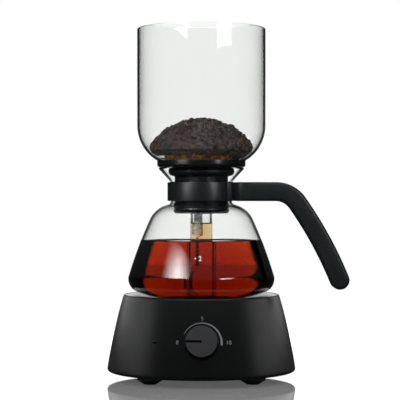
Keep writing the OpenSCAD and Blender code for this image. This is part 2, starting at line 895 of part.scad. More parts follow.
// Moulded handle: root block round the band, arm and grip
module handle() {
  path = handle_path();
  n = len(path);
  sides = len(handle_section(1));
  points = [for (i = [0 : n - 1])
    let (c = [path[i][0], 0, path[i][1]], p = path_dir(path, i))
    each ring_at(c, [p[0], 0, p[1]], [0, 1, 0], handle_section(handle_scale(i, n)))];
  color("#1e1f21")
    difference() {
      union() {
        polyhedron(points, ring_faces(n, sides), 6);
        handle_root();
      }
      post(root_in_r, collar_z - 5, collar_z + collar_h + 5);
      translate([20, -lug_gap - lug_t - seat_gap, collar_mid_z - lug_h / 2 - 0.2])
        cube([lug_end_x - 19.5, 2 * (lug_gap + lug_t + seat_gap), lug_h + 0.4]);
      translate([clamp_x, 0, collar_mid_z])
        rotate([90, 0, 0]) {
          translate([0, 0, -handle_w])
            cylinder(r = clamp_r + 0.05, h = handle_w + handle_w / 2 - 1.6);
          translate([0, 0, -handle_w])
            cylinder(r = clamp_head_r + 0.2, h = handle_w - handle_w / 2 + 3);
        }
    }
}

// Root of the handle: a saddle on the band that narrows to the arm in a curve,
// with small bevels all round
module handle_root() {
  bevel = 0.7;
  minkowski() {
    translate([0, 0, collar_z + bevel])
      linear_extrude(collar_h - 2 * bevel)
        offset(delta = -bevel)
          polygon(root_outline());
    for (side = [-1, 1])
      scale([1, 1, side])
        cylinder(r1 = bevel, r2 = 0, h = bevel, $fn = 8);
  }
}

// Outline of the root in plan: wings along the band, corners and hollow sides
function root_outline() =
  let (wing = 17.5, corner = 3, hollow = 9, wing_x = sqrt(root_in_r * root_in_r - wing * wing),
    corner_c = [wing_x + 1.5, wing - corner],
    turn = asin((handle_w / 2 + hollow - corner_c[1]) / (corner + hollow)),
    hollow_c = corner_c + (corner + hollow) * [cos(turn), sin(turn)],
    side = concat(arc(corner_c, corner, 100, turn, 5),
      mid_arc(hollow_c, hollow, 180 + turn, 270, 10)))
  concat([[root_in_r - 10, wing - 2]], side, [[hollow_c[0], handle_w / 2]],
    [[hollow_c[0], -handle_w / 2]],
    [for (i = [len(side) - 1 : -1 : 0]) [side[i][0], -side[i][1]]],
    [[root_in_r - 10, 2 - wing]]);

module clamp_screw() {
  color("#c4c6c8")
    translate([clamp_x, 0, collar_mid_z])
      rotate([90, 0, 0])
        difference() {
          union() {
            translate([0, 0, -handle_w / 2 + 0.4])
              cylinder(r = clamp_head_r, h = 2.6);
            translate([0, 0, -handle_w / 2 + 1])
              cylinder(r = clamp_r, h = handle_w - 3);
          }
          translate([0, 0, -handle_w / 2])
            cylinder(r = 1.5, h = 2, $fn = 6);
        }
}

// Glass bowl with a round lower edge that runs into the open stem
module upper_bowl() {
  inner = bowl_side(glass_t);
  color("#dfe9ec", 0.45)
    rotate_extrude()
      polygon(concat(
        bowl_side(0),
        arc([bowl_r - glass_t / 2, bowl_rim_z - glass_t / 2], glass_t / 2, 0, 180, 8),
        [for (i = [len(inner) - 1 : -1 : 0]) inner[i]],
        arc([stem_r - glass_t / 2, stem_end_z + glass_t / 2], glass_t / 2, 180, 360, 8)));
}

// Rubber seal: disc under the bowl, bulge in the lip and ribs in the neck
module neck_seal() {
  color("#17181a")
    rotate_extrude()
      polygon(concat(
        [[seal_bore_r, seal_end_z]],
        arc([seal_groove_r - 0.6, seal_end_z + 0.8], 0.8, -90, 0, 3),
        rib(seal_big_rib_z, seal_rib_r, 3.6),
        [for (z = seal_rib_zs) each rib(z, seal_rib_r, 2)],
        [[seal_groove_r, seal_bulge_c[1] - seal_bulge_r - 0.6]],
        arc(seal_bulge_c, seal_bulge_r, -90, 70, 8),
        [[seal_bulge_c[0] + 0.6, seal_disc_z]],
        arc([seal_disc_r - seal_edge_r, seal_disc_z + seal_edge_r], seal_edge_r, -90, 0, 5),
        arc(dome_c, dome_r + seat_gap, seal_disc_angle, -90, 5),
        arc(stem_fillet_c, stem_fillet_r - seat_gap, 90, 180, 5)));
}

// Perforated filter plate inside the cloth
module filter_disc() {
  r = cloth_r - cloth_t - 1.2;
  z = cloth_c[1] - disc_t / 2;
  color("#c2c4c6")
    difference() {
      union() {
        post(r, z, z + disc_t);
        tube(r, r - disc_t, z, z + 2.6);
      }
      post(1.4, z - 1, z + 3);
      for (ring = [1 : 3])
        at_angles([0 : 60 / ring : 359], ring * 6.5)
          post(disc_hole_r, z - 1, z + 3);
    }
}

// Cloth cover round the filter plate
module filter_cloth() {
  color("#a8752f")
    difference() {
      rotate_extrude()
        polygon(concat([[0, cloth_z]], arc(cloth_c, cloth_h / 2, -90, 90, 10),
          [[0, cloth_z + cloth_h]]));
      rotate_extrude()
        polygon(concat([[0, cloth_z + cloth_t]],
          arc(cloth_c, cloth_h / 2 - cloth_t, -90, 90, 10),
          [[0, cloth_z + cloth_h - cloth_t]]));
      post(2.2, cloth_z - 1, cloth_z + 2);
    }
}

// Tension spring between the filter and the chain
module filter_spring() {
  per_turn = 10;
  steps = spring_turns * per_turn;
  drop = spring_top_z - 2 - (spring_end_z + 2);
  coil = [for (i = [0 : steps]) let (a = 360 * i / per_turn)
    [chain_x + spring_r * cos(a), spring_r * sin(a), spring_top_z - 2 - drop * i / steps]];
  color("#c9cbcd")
    wire(concat([[0, 0, spring_top_z + 1.8], [0, 0, spring_top_z], [0.3, 0, spring_top_z - 1.2]],
      coil, [[chain_x + 1.6, 0.6, spring_end_z + 1], [chain_x, 0, spring_end_z + 0.4],
        [chain_x, 0, spring_end_z]]), spring_wire_r, 6, [0.02, 0.03, 1]);
}

// Heap of ground coffee on the filter
module coffee_grounds() {
  steps = 14;
  foot = [cloth_r + 1.2, cloth_z + cloth_h * 0.4];
  dome_in = dome_r - glass_t - 0.1;
  a0 = -acos((foot[0] - dome_c[0]) / dome_in);
  a1 = -acos((mound_r + 1 - dome_c[0]) / dome_in);
  color("#3b2a21")
    rotate_extrude()
      polygon(concat(
        [[0, cloth_z + cloth_h + 0.1], [cloth_c[0], cloth_z + cloth_h + 0.1]],
        arc(cloth_c, cloth_h / 2 + 0.1, 80, 0, 6),
        [dome_c + (dome_in - 1) * [cos(a0), sin(a0)]],
        arc(dome_c, dome_in, a0, a1, 5),
        [for (i = [1 : steps]) let (s = 1 - i / steps)
          [mound_r * s, mound_z + mound_h * pow(1 - s * s, 0.75)]]));
}

// Coffee that stands in the stem, open round the spring, chain and hook
module stem_coffee() {
  color("#b5661e")
    difference() {
      post(tube_liquid_r, stem_end_z + 1, tube_level_z);
      translate([chain_x, 0, 0])
        post(tube_bore_r, stem_end_z, tube_level_z + 1);
      translate([-stem_r, -1.3, stem_end_z])
        cube([stem_r + chain_x, 2.6, 13]);
    }
}

// Ball chain from the spring down to the hook
module bead_chain() {
  top = spring_end_z - 0.4 - bead_r;
  color("#c9cbcd")
    translate([chain_x, 0, 0]) {
      for (i = [0 : bead_count - 1])
        translate([0, 0, top - i * bead_pitch])
          sphere(r = bead_r, $fn = 20);
      post(0.35, top - (bead_count - 1) * bead_pitch - bead_r, top);
    }
}

// Wire hook that grips the end of the stem
module chain_hook() {
  top = spring_end_z - 0.8 - bead_count * bead_pitch;
  inner_x = hook_c[0] + hook_bend_r;
  bend = [for (a = [180 : 22.5 : 360])
    [hook_c[0] + hook_bend_r * cos(a), 0, hook_c[1] + hook_bend_r * sin(a)]];
  color("#b4b6b8")
    wire(concat(
      [[hook_c[0] - hook_bend_r, 0, hook_c[1] + hook_tip_h]],
      bend,
      [[inner_x, 0, hook_c[1] + 3.5], [inner_x + 0.9, 0, hook_c[1] + 6],
        [chain_x - 0.5, 0, top - 1.5], [chain_x, 0, top]]),
      hook_wire_r, 8, [0, 1, 0]);
}

base_housing();
top_plate();
hot_plate();
heating_element();
heater_cradle();
cradle_screws();
thermostat();
control_board();
board_components();
heat_sink();
board_screws();
terminal_block();
heater_leads();
mains_leads();
rotary_control();
control_washer();
control_nut();
bottom_cover();
cover_screws();
rubber_feet();
indicator_lens();
indicator_led();
cord_gland();
control_knob();
control_shaft();
flask();
brewed_coffee();
collar_liner();
collar_band();
handle();
clamp_screw();
upper_bowl();
neck_seal();
filter_disc();
filter_cloth();
filter_spring();
coffee_grounds();
stem_coffee();
bead_chain();
chain_hook();
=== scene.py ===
import json
import math
import random

import bpy
from mathutils import Matrix, Vector, noise

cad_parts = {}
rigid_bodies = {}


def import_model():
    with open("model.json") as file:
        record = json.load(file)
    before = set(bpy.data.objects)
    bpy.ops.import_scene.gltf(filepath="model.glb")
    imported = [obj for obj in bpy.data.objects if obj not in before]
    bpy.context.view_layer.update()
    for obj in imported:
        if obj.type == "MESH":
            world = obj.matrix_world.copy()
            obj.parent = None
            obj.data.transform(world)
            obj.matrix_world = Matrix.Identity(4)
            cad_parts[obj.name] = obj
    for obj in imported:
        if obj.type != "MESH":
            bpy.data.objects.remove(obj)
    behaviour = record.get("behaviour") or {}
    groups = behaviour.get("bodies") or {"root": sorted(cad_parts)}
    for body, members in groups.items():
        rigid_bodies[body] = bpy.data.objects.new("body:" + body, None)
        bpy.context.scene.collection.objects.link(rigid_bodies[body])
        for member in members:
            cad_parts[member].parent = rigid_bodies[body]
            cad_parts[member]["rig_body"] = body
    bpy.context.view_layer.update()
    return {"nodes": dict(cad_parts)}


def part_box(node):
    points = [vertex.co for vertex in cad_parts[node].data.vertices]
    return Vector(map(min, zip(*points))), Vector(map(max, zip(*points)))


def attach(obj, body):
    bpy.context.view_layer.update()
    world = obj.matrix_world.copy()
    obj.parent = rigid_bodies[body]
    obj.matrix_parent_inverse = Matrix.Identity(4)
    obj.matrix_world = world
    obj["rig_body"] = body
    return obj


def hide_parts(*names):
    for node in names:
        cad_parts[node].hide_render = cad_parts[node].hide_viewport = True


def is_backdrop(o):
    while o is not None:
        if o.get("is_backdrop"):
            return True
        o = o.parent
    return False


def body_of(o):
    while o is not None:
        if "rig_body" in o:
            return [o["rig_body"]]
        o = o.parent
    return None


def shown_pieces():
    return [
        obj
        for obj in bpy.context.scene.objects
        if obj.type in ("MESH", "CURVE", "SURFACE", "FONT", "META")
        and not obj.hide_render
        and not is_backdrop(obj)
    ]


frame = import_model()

# Looks of the electric siphon coffee maker. Sizes are in millimetres and become
# metres as each mesh is made. Profiles are lists of (radius, height) points.
MM = 0.001


def low(name):
    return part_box(name)[0][2] / MM


def high(name):
    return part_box(name)[1][2] / MM


# ---------------------------------------------------------------- sizes

# Heater base
BASE_TOP = high("base_housing")
BASE_FOOT = low("base_housing")
BASE_BOTTOM_R = 72.5
BASE_TOP_R = 59.7
BASE_SWELL = 1.1
WALL = 2.4
FOOT_EDGE_R = 2.0
RIM_EDGE_R = 1.5
PLATE_R = BASE_TOP_R - 1.5
LEDGE_Z = BASE_TOP - 1.2
LEDGE_R = 54.0
HOT_PLATE_TOP = high("hot_plate")
HOT_PLATE_BOTTOM = low("hot_plate")
HOT_PLATE_R = 31.5
FOOT_CIRCLE_R = 54.0

# Dial, lamp window and cord entry, at angles counted from +X
FRONT, BACK = 270, 90
DIAL_Z = 33.5
KNOB_R = 12.0
KNOB_H = 8.5
LAMP_ANGLE = 239.5
LAMP_Z = 33.4
LAMP_R = 1.5
GLAND_Z = 20.0
ARC_R = 14.0
ARC_THIN, ARC_THICK = 0.3, 1.5
ARC_START, ARC_SWEEP = 153, 160
DIAL_FIGURES = (("0", -17.6, 0.5), ("5", 0.5, 17.6), ("10", 20.2, 0.5))
FIGURE_H = 2.8
# thickness of a print, and the height of a figure as a share of its font's size
PRINT = 0.05
CAPITAL = 0.69

# Glass of both vessels
GLASS = 1.8
FLASK_Z = low("flask")
DISH_R = 63.0
DISH_END = -68.0
DISH_C = (25.85, FLASK_Z + DISH_R)
CORNER_R = 10.8
SHOULDER_R = 20.8
SHOULDER_C = (20.9, FLASK_Z + 51.5)
SIDE_R = 330.0
NECK_R = 23.7
NECK_FILLET_R = 2.2
FLARE_R = 6.0
FLARE_ANGLE = 42.0
LIP_C = (31.93, high("flask") - GLASS / 2)
LEVEL = high("brewed_coffee")
MARK_X, MARK_Z = -1.0, 93.9

# Collar and handle
COLLAR_Z = low("collar_band")
COLLAR_TOP = high("collar_band")
BAND_R = 26.1
BAND_IN_R = 24.3
HANDLE_T = 14.6
HANDLE_W = 16.0
ARM_START = 24.5
BEND_R = 20.0
GRIP_R = 301.0
GRIP_SLOPE = 67.8
GRIP_END = (106.3, 75.5)

# Upper bowl and stem
BOWL_FLOOR = LEVEL + 57.79
BOWL_RIM = high("upper_bowl")
BOWL_R = 49.5
DOME_R = 30.8
DOME_C = (BOWL_R - DOME_R, BOWL_FLOOR + DOME_R)
STEM_R = 8.5
STEM_END = low("upper_bowl")
STEM_FILLET_R = 4.0
STEM_LEVEL = high("stem_coffee")

# Filter
CLOTH_Z = low("filter_cloth")
CLOTH_H = high("filter_cloth") - CLOTH_Z
CLOTH_R = 29.0
MOUND_R = 40.0
MOUND_Z = BOWL_FLOOR + 13.0
MOUND_H = 23.0
CHAIN_X = -2.4
SPRING_R = 3.1
SPRING_WIRE_R = 0.28
SPRING_PITCH = 0.66
SPRING_TOP = CLOTH_Z - 1.2
SPRING_END = LEVEL + 2.6
BEAD_R = 1.2
BEAD_PITCH = 3.2
BEADS = 8
HOOK_WIRE_R = 0.6
HOOK_BEND_R = 1.85
HOOK_C = (-(STEM_R - GLASS / 2), STEM_END + GLASS / 2)
HOOK_TIP = 4.2
GRAINS_ON_HEAP, GRAINS_AT_FOOT = 1300, 750

# Studio, in metres; the lens and its sensor are in millimetres
CAMERA_PLACE = (-0.00105, -1.155, 0.137)
CAMERA_LENS, CAMERA_SENSOR = 135, 36
LAMPS_AIM_AT, LAMPS_AWAY = 0.1, 1.2


# ---------------------------------------------------------------- profiles

def arc(centre, radius, start, end, steps):
    """Points of an arc, from angle start to end in degrees."""
    turns = [math.radians(start + (end - start) * i / steps) for i in range(steps + 1)]
    return [(centre[0] + radius * math.cos(a), centre[1] + radius * math.sin(a)) for a in turns]


def angle_of(x, y):
    return math.degrees(math.atan2(y, x))


def arc_through(foot, head, swell):
    """Centre and radius of the arc through two points that swells outwards between them."""
    chord = (head[0] - foot[0], head[1] - foot[1])
    length = math.hypot(*chord)
    radius = length ** 2 / (8 * swell) + swell / 2
    out = (chord[1] / length, -chord[0] / length)
    middle = ((foot[0] + head[0]) / 2, (foot[1] + head[1]) / 2)
    return tuple(m - (radius - swell) * o for m, o in zip(middle, out)), radius


SIDE_OF_BASE, BASE_SIDE_R = arc_through((BASE_BOTTOM_R, BASE_FOOT), (BASE_TOP_R, BASE_TOP),
                                        BASE_SWELL)


def base_radius(z, inside=0.0):
    return SIDE_OF_BASE[0] + math.sqrt((BASE_SIDE_R - inside) ** 2 - (z - SIDE_OF_BASE[1]) ** 2)


def base_slope(z, inside=0.0):
    return math.degrees(math.asin((z - SIDE_OF_BASE[1]) / (BASE_SIDE_R - inside)))


def base_side(z_from, z_to, inside, steps):
    start, end = base_slope(z_from, inside), base_slope(z_to, inside)
    return arc(SIDE_OF_BASE, BASE_SIDE_R - inside, start, end, steps)


def flask_profile(inside, level=None):
    """Outline of the flask, so far inside its outer surface, up to its lip or to a level."""
    end = math.radians(DISH_END)
    reach = DISH_R - CORNER_R
    corner = (DISH_C[0] + reach * math.cos(end), DISH_C[1] + reach * math.sin(end))
    near, far = SIDE_R - CORNER_R, SIDE_R - SHOULDER_R
    across = (SHOULDER_C[0] - corner[0], SHOULDER_C[1] - corner[1])
    gap = math.hypot(*across)
    along = (near ** 2 - far ** 2 + gap ** 2) / (2 * gap)
    back = math.sqrt(near ** 2 - along ** 2)
    unit = (across[0] / gap, across[1] / gap)
    side = (corner[0] + along * unit[0] - back * unit[1],
            corner[1] + along * unit[1] + back * unit[0])
    low_turn = angle_of(corner[0] - side[0], corner[1] - side[1])
    high_turn = angle_of(SHOULDER_C[0] - side[0], SHOULDER_C[1] - side[1])
    fillet_x = NECK_R + NECK_FILLET_R
    rise = math.sqrt((SHOULDER_R + NECK_FILLET_R) ** 2 - (fillet_x - SHOULDER_C[0]) ** 2)
    fillet = (fillet_x, SHOULDER_C[1] + rise)
    neck_turn = angle_of(fillet_x - SHOULDER_C[0], rise)
    flare = (NECK_R + FLARE_R, LIP_C[1] - 12.794)
    points = ([(0, FLASK_Z + inside)]
              + arc(DISH_C, DISH_R - inside, -90, DISH_END, 10)
              + arc(corner, CORNER_R - inside, DISH_END, low_turn, 20)
              + arc(side, SIDE_R - inside, low_turn, high_turn, 8)
              + arc(SHOULDER_C, SHOULDER_R - inside, high_turn, neck_turn, 20)
              + arc(fillet, NECK_FILLET_R + inside, neck_turn + 180, 180, 6)
              + arc(flare, FLARE_R + inside, 180, 180 - FLARE_ANGLE, 8))
    if level is None:
        tilt = math.radians(FLARE_ANGLE)
        offset = GLASS / 2 - inside
        return points + [(LIP_C[0] + offset * math.cos(tilt), LIP_C[1] - offset * math.sin(tilt))]
    below = [p for p in points if p[1] < level]
    above = points[len(below)]
    share = (level - below[-1][1]) / (above[1] - below[-1][1])
    return below + [(below[-1][0] + share * (above[0] - below[-1][0]), level)]


def bowl_profile(inside):
    """Outline of the upper bowl from its stem to its rim, so far inside its outer surface."""
    fillet = (STEM_R + STEM_FILLET_R, BOWL_FLOOR - STEM_FILLET_R)
    return (arc(fillet, STEM_FILLET_R + inside, 180, 90, 8)
            + arc(DOME_C, DOME_R - inside, -90, 0, 28))


# ---------------------------------------------------------------- modelling tools

def only(piece):
    bpy.ops.object.select_all(action="DESELECT")
    piece.select_set(True)
    bpy.context.view_layer.objects.active = piece


def smooth_below(piece, angle):
    """Smooths a piece but for its edges that are sharper than an angle."""
    only(piece)
    bpy.ops.object.shade_smooth_by_angle(angle=math.radians(angle))


def begin(name, add, **settings):
    """Adds what a piece starts from, with nothing else selected."""
    bpy.ops.object.select_all(action="DESELECT")
    add(**settings)
    bpy.context.object.name = name
    return bpy.context.object


def turned(name, profile, steps=128, smooth=35):
    """A piece turned on the Z axis: a point is drawn out along the profile, then spun."""
    piece = begin(name, bpy.ops.mesh.primitive_plane_add, size=MM)
    bpy.ops.object.mode_set(mode="EDIT")
    bpy.ops.mesh.select_all(action="SELECT")
    bpy.ops.mesh.merge(type="CENTER")
    bpy.ops.transform.translate(value=(profile[0][0] * MM, 0, profile[0][1] * MM))
    for a, b in zip(profile, profile[1:]):
        move = ((b[0] - a[0]) * MM, 0, (b[1] - a[1]) * MM)
        bpy.ops.mesh.extrude_vertices_move(TRANSFORM_OT_translate={"value": move})
    bpy.ops.mesh.select_all(action="SELECT")
    bpy.ops.mesh.spin(steps=steps, angle=2 * math.pi, center=(0, 0, 0), axis=(0, 0, 1))
    close_up(smooth)
    return piece


def close_up(smooth):
    """In edit mode: merges doubles, turns the faces outwards, then smooths the piece."""
    bpy.ops.mesh.select_all(action="SELECT")
    bpy.ops.mesh.remove_doubles(threshold=0.002 * MM)
    bpy.ops.mesh.normals_make_consistent(inside=False)
    bpy.ops.object.mode_set(mode="OBJECT")
    if smooth:
        bpy.ops.object.shade_smooth_by_angle(angle=math.radians(smooth))


def apply_modifier(piece, kind, **settings):
    """Adds one modifier to a piece and applies it."""
    only(piece)
    modifier = piece.modifiers.new(kind.lower(), kind)
    for key, value in settings.items():
        setattr(modifier, key, value)
    bpy.ops.object.modifier_apply(modifier=modifier.name)


def cut(piece, tool):
    apply_modifier(piece, "BOOLEAN", operation="DIFFERENCE", object=tool, solver="EXACT")
    bpy.data.objects.remove(tool)


def cylinder(name, radius, z0, z1, vertices=64):
    piece = begin(name, bpy.ops.mesh.primitive_cylinder_add, vertices=vertices, radius=radius * MM,
                  depth=(z1 - z0) * MM, location=(0, 0, (z0 + z1) / 2 * MM))
    bpy.ops.object.transform_apply()
    return piece


def block(name, low_corner, high_corner):
    piece = begin(name, bpy.ops.mesh.primitive_cube_add, size=1)
    piece.scale = [(b - a) * MM for a, b in zip(low_corner, high_corner)]
    piece.location = [(a + b) / 2 * MM for a, b in zip(low_corner, high_corner)]
    bpy.ops.object.transform_apply()
    return piece


def prism(name, outline, low_z, high_z):
    """A flat outline in X and Y, filled and drawn up from one height to another."""
    piece = begin(name, bpy.ops.mesh.primitive_circle_add, vertices=len(outline), radius=MM,
                  fill_type="NGON")
    for vertex, (x, y) in zip(piece.data.vertices, outline):
        vertex.co = (x * MM, y * MM, low_z * MM)
    bpy.ops.object.mode_set(mode="EDIT")
    bpy.ops.mesh.select_all(action="SELECT")
    move = (0, 0, (high_z - low_z) * MM)
    bpy.ops.mesh.extrude_region_move(TRANSFORM_OT_translate={"value": move})
    close_up(0)
    return piece


def place(piece, matrix):
    """Moves a piece's mesh, so that its object stays at the origin."""
    only(piece)
    piece.matrix_world = matrix
    bpy.ops.object.transform_apply()
    return piece


def on_side(angle, z):
    """Frame of the sloping side of the base at an angle and height, with +Z pointing outwards."""
    turn = Matrix.Rotation(math.radians(angle + 90), 4, "Z")
    move = Matrix.Translation((0, -base_radius(z) * MM, z * MM))
    tilt = Matrix.Rotation(math.radians(90 - base_slope(z)), 4, "X")
    return turn @ move @ tilt


def join(*pieces):
    only(pieces[0])
    for piece in pieces[1:]:
        piece.select_set(True)
    bpy.ops.object.join()
    return pieces[0]


def wire(name, points, radius):
    """A bent wire: a curve through points, made round and thick, then a mesh."""
    piece = begin(name, bpy.ops.curve.primitive_bezier_curve_add)
    piece.data.bevel_depth = radius * MM
    piece.data.bevel_resolution = 2
    piece.data.resolution_u = 5
    piece.data.use_fill_caps = True
    spline = piece.data.splines[0]
    spline.bezier_points.add(len(points) - 2)
    for knot, point in zip(spline.bezier_points, points):
        knot.co = [c * MM for c in point]
        knot.handle_left_type = knot.handle_right_type = "AUTO"
    bpy.ops.object.convert(target="MESH")
    bpy.ops.object.shade_smooth_by_angle(angle=math.radians(50))
    return bpy.context.object


def figure(name, text, height):
    """A flat figure, centred, standing in X and Y."""
    piece = begin(name, bpy.ops.object.text_add)
    piece.data.body = text
    piece.data.size = height * MM / CAPITAL
    piece.data.align_x = "CENTER"
    piece.data.align_y = "CENTER"
    piece.data.resolution_u = 4
    bpy.ops.object.convert(target="MESH")
    bpy.ops.object.origin_set(type="ORIGIN_GEOMETRY", center="BOUNDS")
    return bpy.context.object


def print_on(piece, matrix, carrier):
    """Lays a flat print on a curved surface, down its own Z axis, and gives the ink its thickness."""
    piece.matrix_world = matrix
    bpy.context.view_layer.update()
    apply_modifier(piece, "SHRINKWRAP", target=carrier, wrap_method="PROJECT", use_project_z=True,
                   use_negative_direction=True, use_positive_direction=False, offset=PRINT * MM)
    bpy.ops.object.transform_apply()
    apply_modifier(piece, "SOLIDIFY", thickness=PRINT * MM, offset=0)


def copy_at(piece, name, matrix):
    """A copy with its own mesh, moved in its mesh."""
    twin = piece.copy()
    twin.data = piece.data.copy()
    twin.name = name
    bpy.context.collection.objects.link(twin)
    twin.data.transform(matrix)
    return twin


def second_finish(piece, material, test):
    """Gives a further material to the faces whose centre (radius, height) and normal pass a test."""
    piece.data.materials.append(material)
    index = len(piece.data.materials) - 1
    for face in piece.data.polygons:
        if test(math.hypot(face.center.x, face.center.y) / MM, face.center.z / MM, face.normal):
            face.material_index = index


def dress(piece, body, slot, material, *nodes):
    """Gives a finished piece its material and its body, and hides the nodes it stands for. Its slot is not
    used.
    """
    piece.data.materials.clear()
    piece.data.materials.append(material)
    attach(piece, body)
    if nodes:
        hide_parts(*nodes)


# ---------------------------------------------------------------- materials

def srgb(code):
    """Linear colour of an sRGB hex code."""
    parts = [int(code[i:i + 2], 16) / 255 for i in (1, 3, 5)]
    return tuple(c / 12.92 if c <= 0.04045 else ((c + 0.055) / 1.055) ** 2.4 for c in parts) + (1.0,)


def add_node(tree, kind, settings=None, inputs=None):
    """Adds a node with its settings, its values and its links, each given as (node, output)."""
    new = tree.nodes.new("ShaderNode" + kind)
    for name, value in (settings or {}).items():
        setattr(new, name, value)
    for name, value in (inputs or {}).items():
        if isinstance(value, tuple) and isinstance(value[0], bpy.types.Node):
            tree.links.new(value[0].outputs[value[1]], new.inputs[name])
        else:
            new.inputs[name].default_value = value
    return new


SMOOTHLY = {"interpolation_type": "SMOOTHSTEP"}
COLOURS = {"data_type": "RGBA"}


def plain_finish(name, colour, roughness, **sockets):
    """A new material, with its node tree and its Principled shader."""
    made = bpy.data.materials.new(name)
    made.use_nodes = True
    tree = made.node_tree
    shader = tree.nodes["Principled BSDF"]
    shader.inputs["Base Color"].default_value = srgb(colour)
    shader.inputs["Roughness"].default_value = roughness
    for socket, value in sockets.items():
        shader.inputs[socket.replace("_", " ")].default_value = value
    return made, tree, shader


def finish(name, colour, roughness, **sockets):
    """The same with the coordinates of its piece, for a material with a pattern."""
    made, tree, shader = plain_finish(name, colour, roughness, **sockets)
    return made, tree, shader, add_node(tree, "TexCoord")


def every(size):
    """Scale of a pattern whose grains, threads or cells are that many millimetres apart."""
    return 1 / (size * MM)


def moulded_plastic(name, colour, roughness, grain, depth, mottle):
    """Plastic moulded in a spark-eroded tool: fine even grain, with the gloss slightly uneven."""
    made, tree, shader, coords = finish(name, colour, roughness)
    fine = add_node(tree, "TexNoise", {},
                    {"Vector": (coords, "Object"), "Scale": every(grain), "Detail": 3.0})
    bump = add_node(tree, "Bump", {}, {"Height": (fine, "Fac"), "Strength": 0.5, "Distance": depth * MM})
    tree.links.new(bump.outputs["Normal"], shader.inputs["Normal"])
    wide = add_node(tree, "TexNoise", {}, {"Vector": (coords, "Object"), "Scale": every(18), "Detail": 4.0})
    uneven = add_node(tree, "MapRange", {},
                      {"Value": (wide, "Fac"), "From Min": 0.3, "From Max": 0.7,
                       "To Min": roughness - mottle, "To Max": roughness + mottle})
    tree.links.new(uneven.outputs["Result"], shader.inputs["Roughness"])
    return made


GLASS_IOR, COFFEE_IOR = 1.473, 1.333
# the flared lip is drawn out thin, so it bends the light less
LIP_IOR = 1.12
# a liquid behind glass, where the glass bends the light for both
UNBENT_IOR = 1.0


def let_lamps_through(tree, shader):
    """Light reaches what is behind a clear surface, as it does in life."""
    path = add_node(tree, "LightPath")
    clear = add_node(tree, "BsdfTransparent")
    both = add_node(tree, "MixShader", {},
                    {0: (path, "Is Shadow Ray"), 1: (shader, "BSDF"), 2: (clear, "BSDF")})
    tree.links.new(both.outputs[0], tree.nodes["Material Output"].inputs["Surface"])


def blown_glass(name, ior, own_tint_and_painted_dark_edge):
    """Blown borosilicate, fire polished: clear face on, dark grey-green where it is seen along its wall,
    partly its own tint and partly a painted dark edge for the dark surroundings it bends into view.
    """
    made, tree, shader = plain_finish(name, "#ffffff", 0.0, IOR=ior, Transmission_Weight=1.0)
    edge = add_node(tree, "LayerWeight", {}, {"Blend": 0.5})
    depth = add_node(tree, "MapRange", SMOOTHLY,
                     {"Value": (edge, "Facing"), "From Min": 0.7, "From Max": 1.0})
    # painted dark edge, partly the glass's own tint: the colour darkens where the wall is seen at a flat
    # angle
    tint = add_node(tree, "Mix", COLOURS,
                    {"Factor": (depth, "Result"), "A": srgb("#fdfefd"), "B": srgb(own_tint_and_painted_dark_edge)})
    tree.links.new(tint.outputs["Result"], shader.inputs["Base Color"])
    let_lamps_through(tree, shader)
    return made


def wetted_glass():
    """The same glass where coffee lies against it: it hardly reflects, as their densities are close."""
    made, tree, shader = plain_finish("borosilicate_glass_against_coffee", "#ffffff", 0.0,
                                      IOR=GLASS_IOR / COFFEE_IOR, Transmission_Weight=1.0)
    let_lamps_through(tree, shader)
    return made


def stem_glass_in_coffee():
    """The tube seen through the coffee: only its wall shows, as two painted dark lines where it is seen edge
    on.
    """
    made, tree, shader = plain_finish("borosilicate_tube_in_coffee", "#ffffff", 0.0,
                                      IOR=GLASS_IOR / COFFEE_IOR, Transmission_Weight=1.0)
    edge = add_node(tree, "LayerWeight", {}, {"Blend": 0.5})
    depth = add_node(tree, "MapRange", SMOOTHLY,
                     {"Value": (edge, "Facing"), "From Min": 0.48, "From Max": 0.8})
    # painted shade: the wall is drawn dark red-brown where it is seen at a flat angle
    tint = add_node(tree, "Mix", COLOURS,
                    {"Factor": (depth, "Result"), "A": srgb("#ffffff"), "B": srgb("#1a0604")})
    tree.links.new(tint.outputs["Result"], shader.inputs["Base Color"])
    let_lamps_through(tree, shader)
    return made


def filtered_coffee(name, ior):
    """Filtered coffee: clear, amber where it is thin and red-brown where it is deep."""
    made, tree, shader = plain_finish(name, "#ffffff", 0.0, IOR=ior, Transmission_Weight=1.0)
    body = add_node(tree, "VolumeAbsorption", {}, {"Color": srgb("#f0d081"), "Density": 139.0})
    tree.links.new(body.outputs[0], tree.nodes["Material Output"].inputs["Volume"])
    let_lamps_through(tree, shader)
    return made, tree, shader


def coffee_behind_glass():
    """Coffee against the flask: its edges are painted black where the line of
    sight meets its curved side at a flat angle, standing in for the dark surroundings bent into view there,
    and more so on one side, where the normal is shifted sideways."""
    made, tree, shader = filtered_coffee("filtered_coffee_behind_glass", UNBENT_IOR)
    geometry = add_node(tree, "NewGeometry")
    # the normal is turned nearly level, and a little to one side
    level_out = add_node(tree, "VectorMath", {"operation": "MULTIPLY_ADD"},
                         {0: (geometry, "Normal"), 1: (1.0, 1.0, 0.35), 2: (-0.056, 0.0, 0.0)})
    sideways = add_node(tree, "VectorMath", {"operation": "NORMALIZE"}, {0: (level_out, "Vector")})
    edge = add_node(tree, "LayerWeight", {}, {"Blend": 0.5, "Normal": (sideways, "Vector")})
    flat = add_node(tree, "MapRange", SMOOTHLY,
                    {"Value": (edge, "Facing"), "From Min": 0.165, "From Max": 0.193})
    # painted shade: black where the coffee's side is seen at a flat angle
    painted_dark_edge = add_node(tree, "Mix", COLOURS,
                         {"Factor": (flat, "Result"), "A": srgb("#ffffff"), "B": srgb("#000000")})
    tree.links.new(painted_dark_edge.outputs["Result"], shader.inputs["Base Color"])
    return made


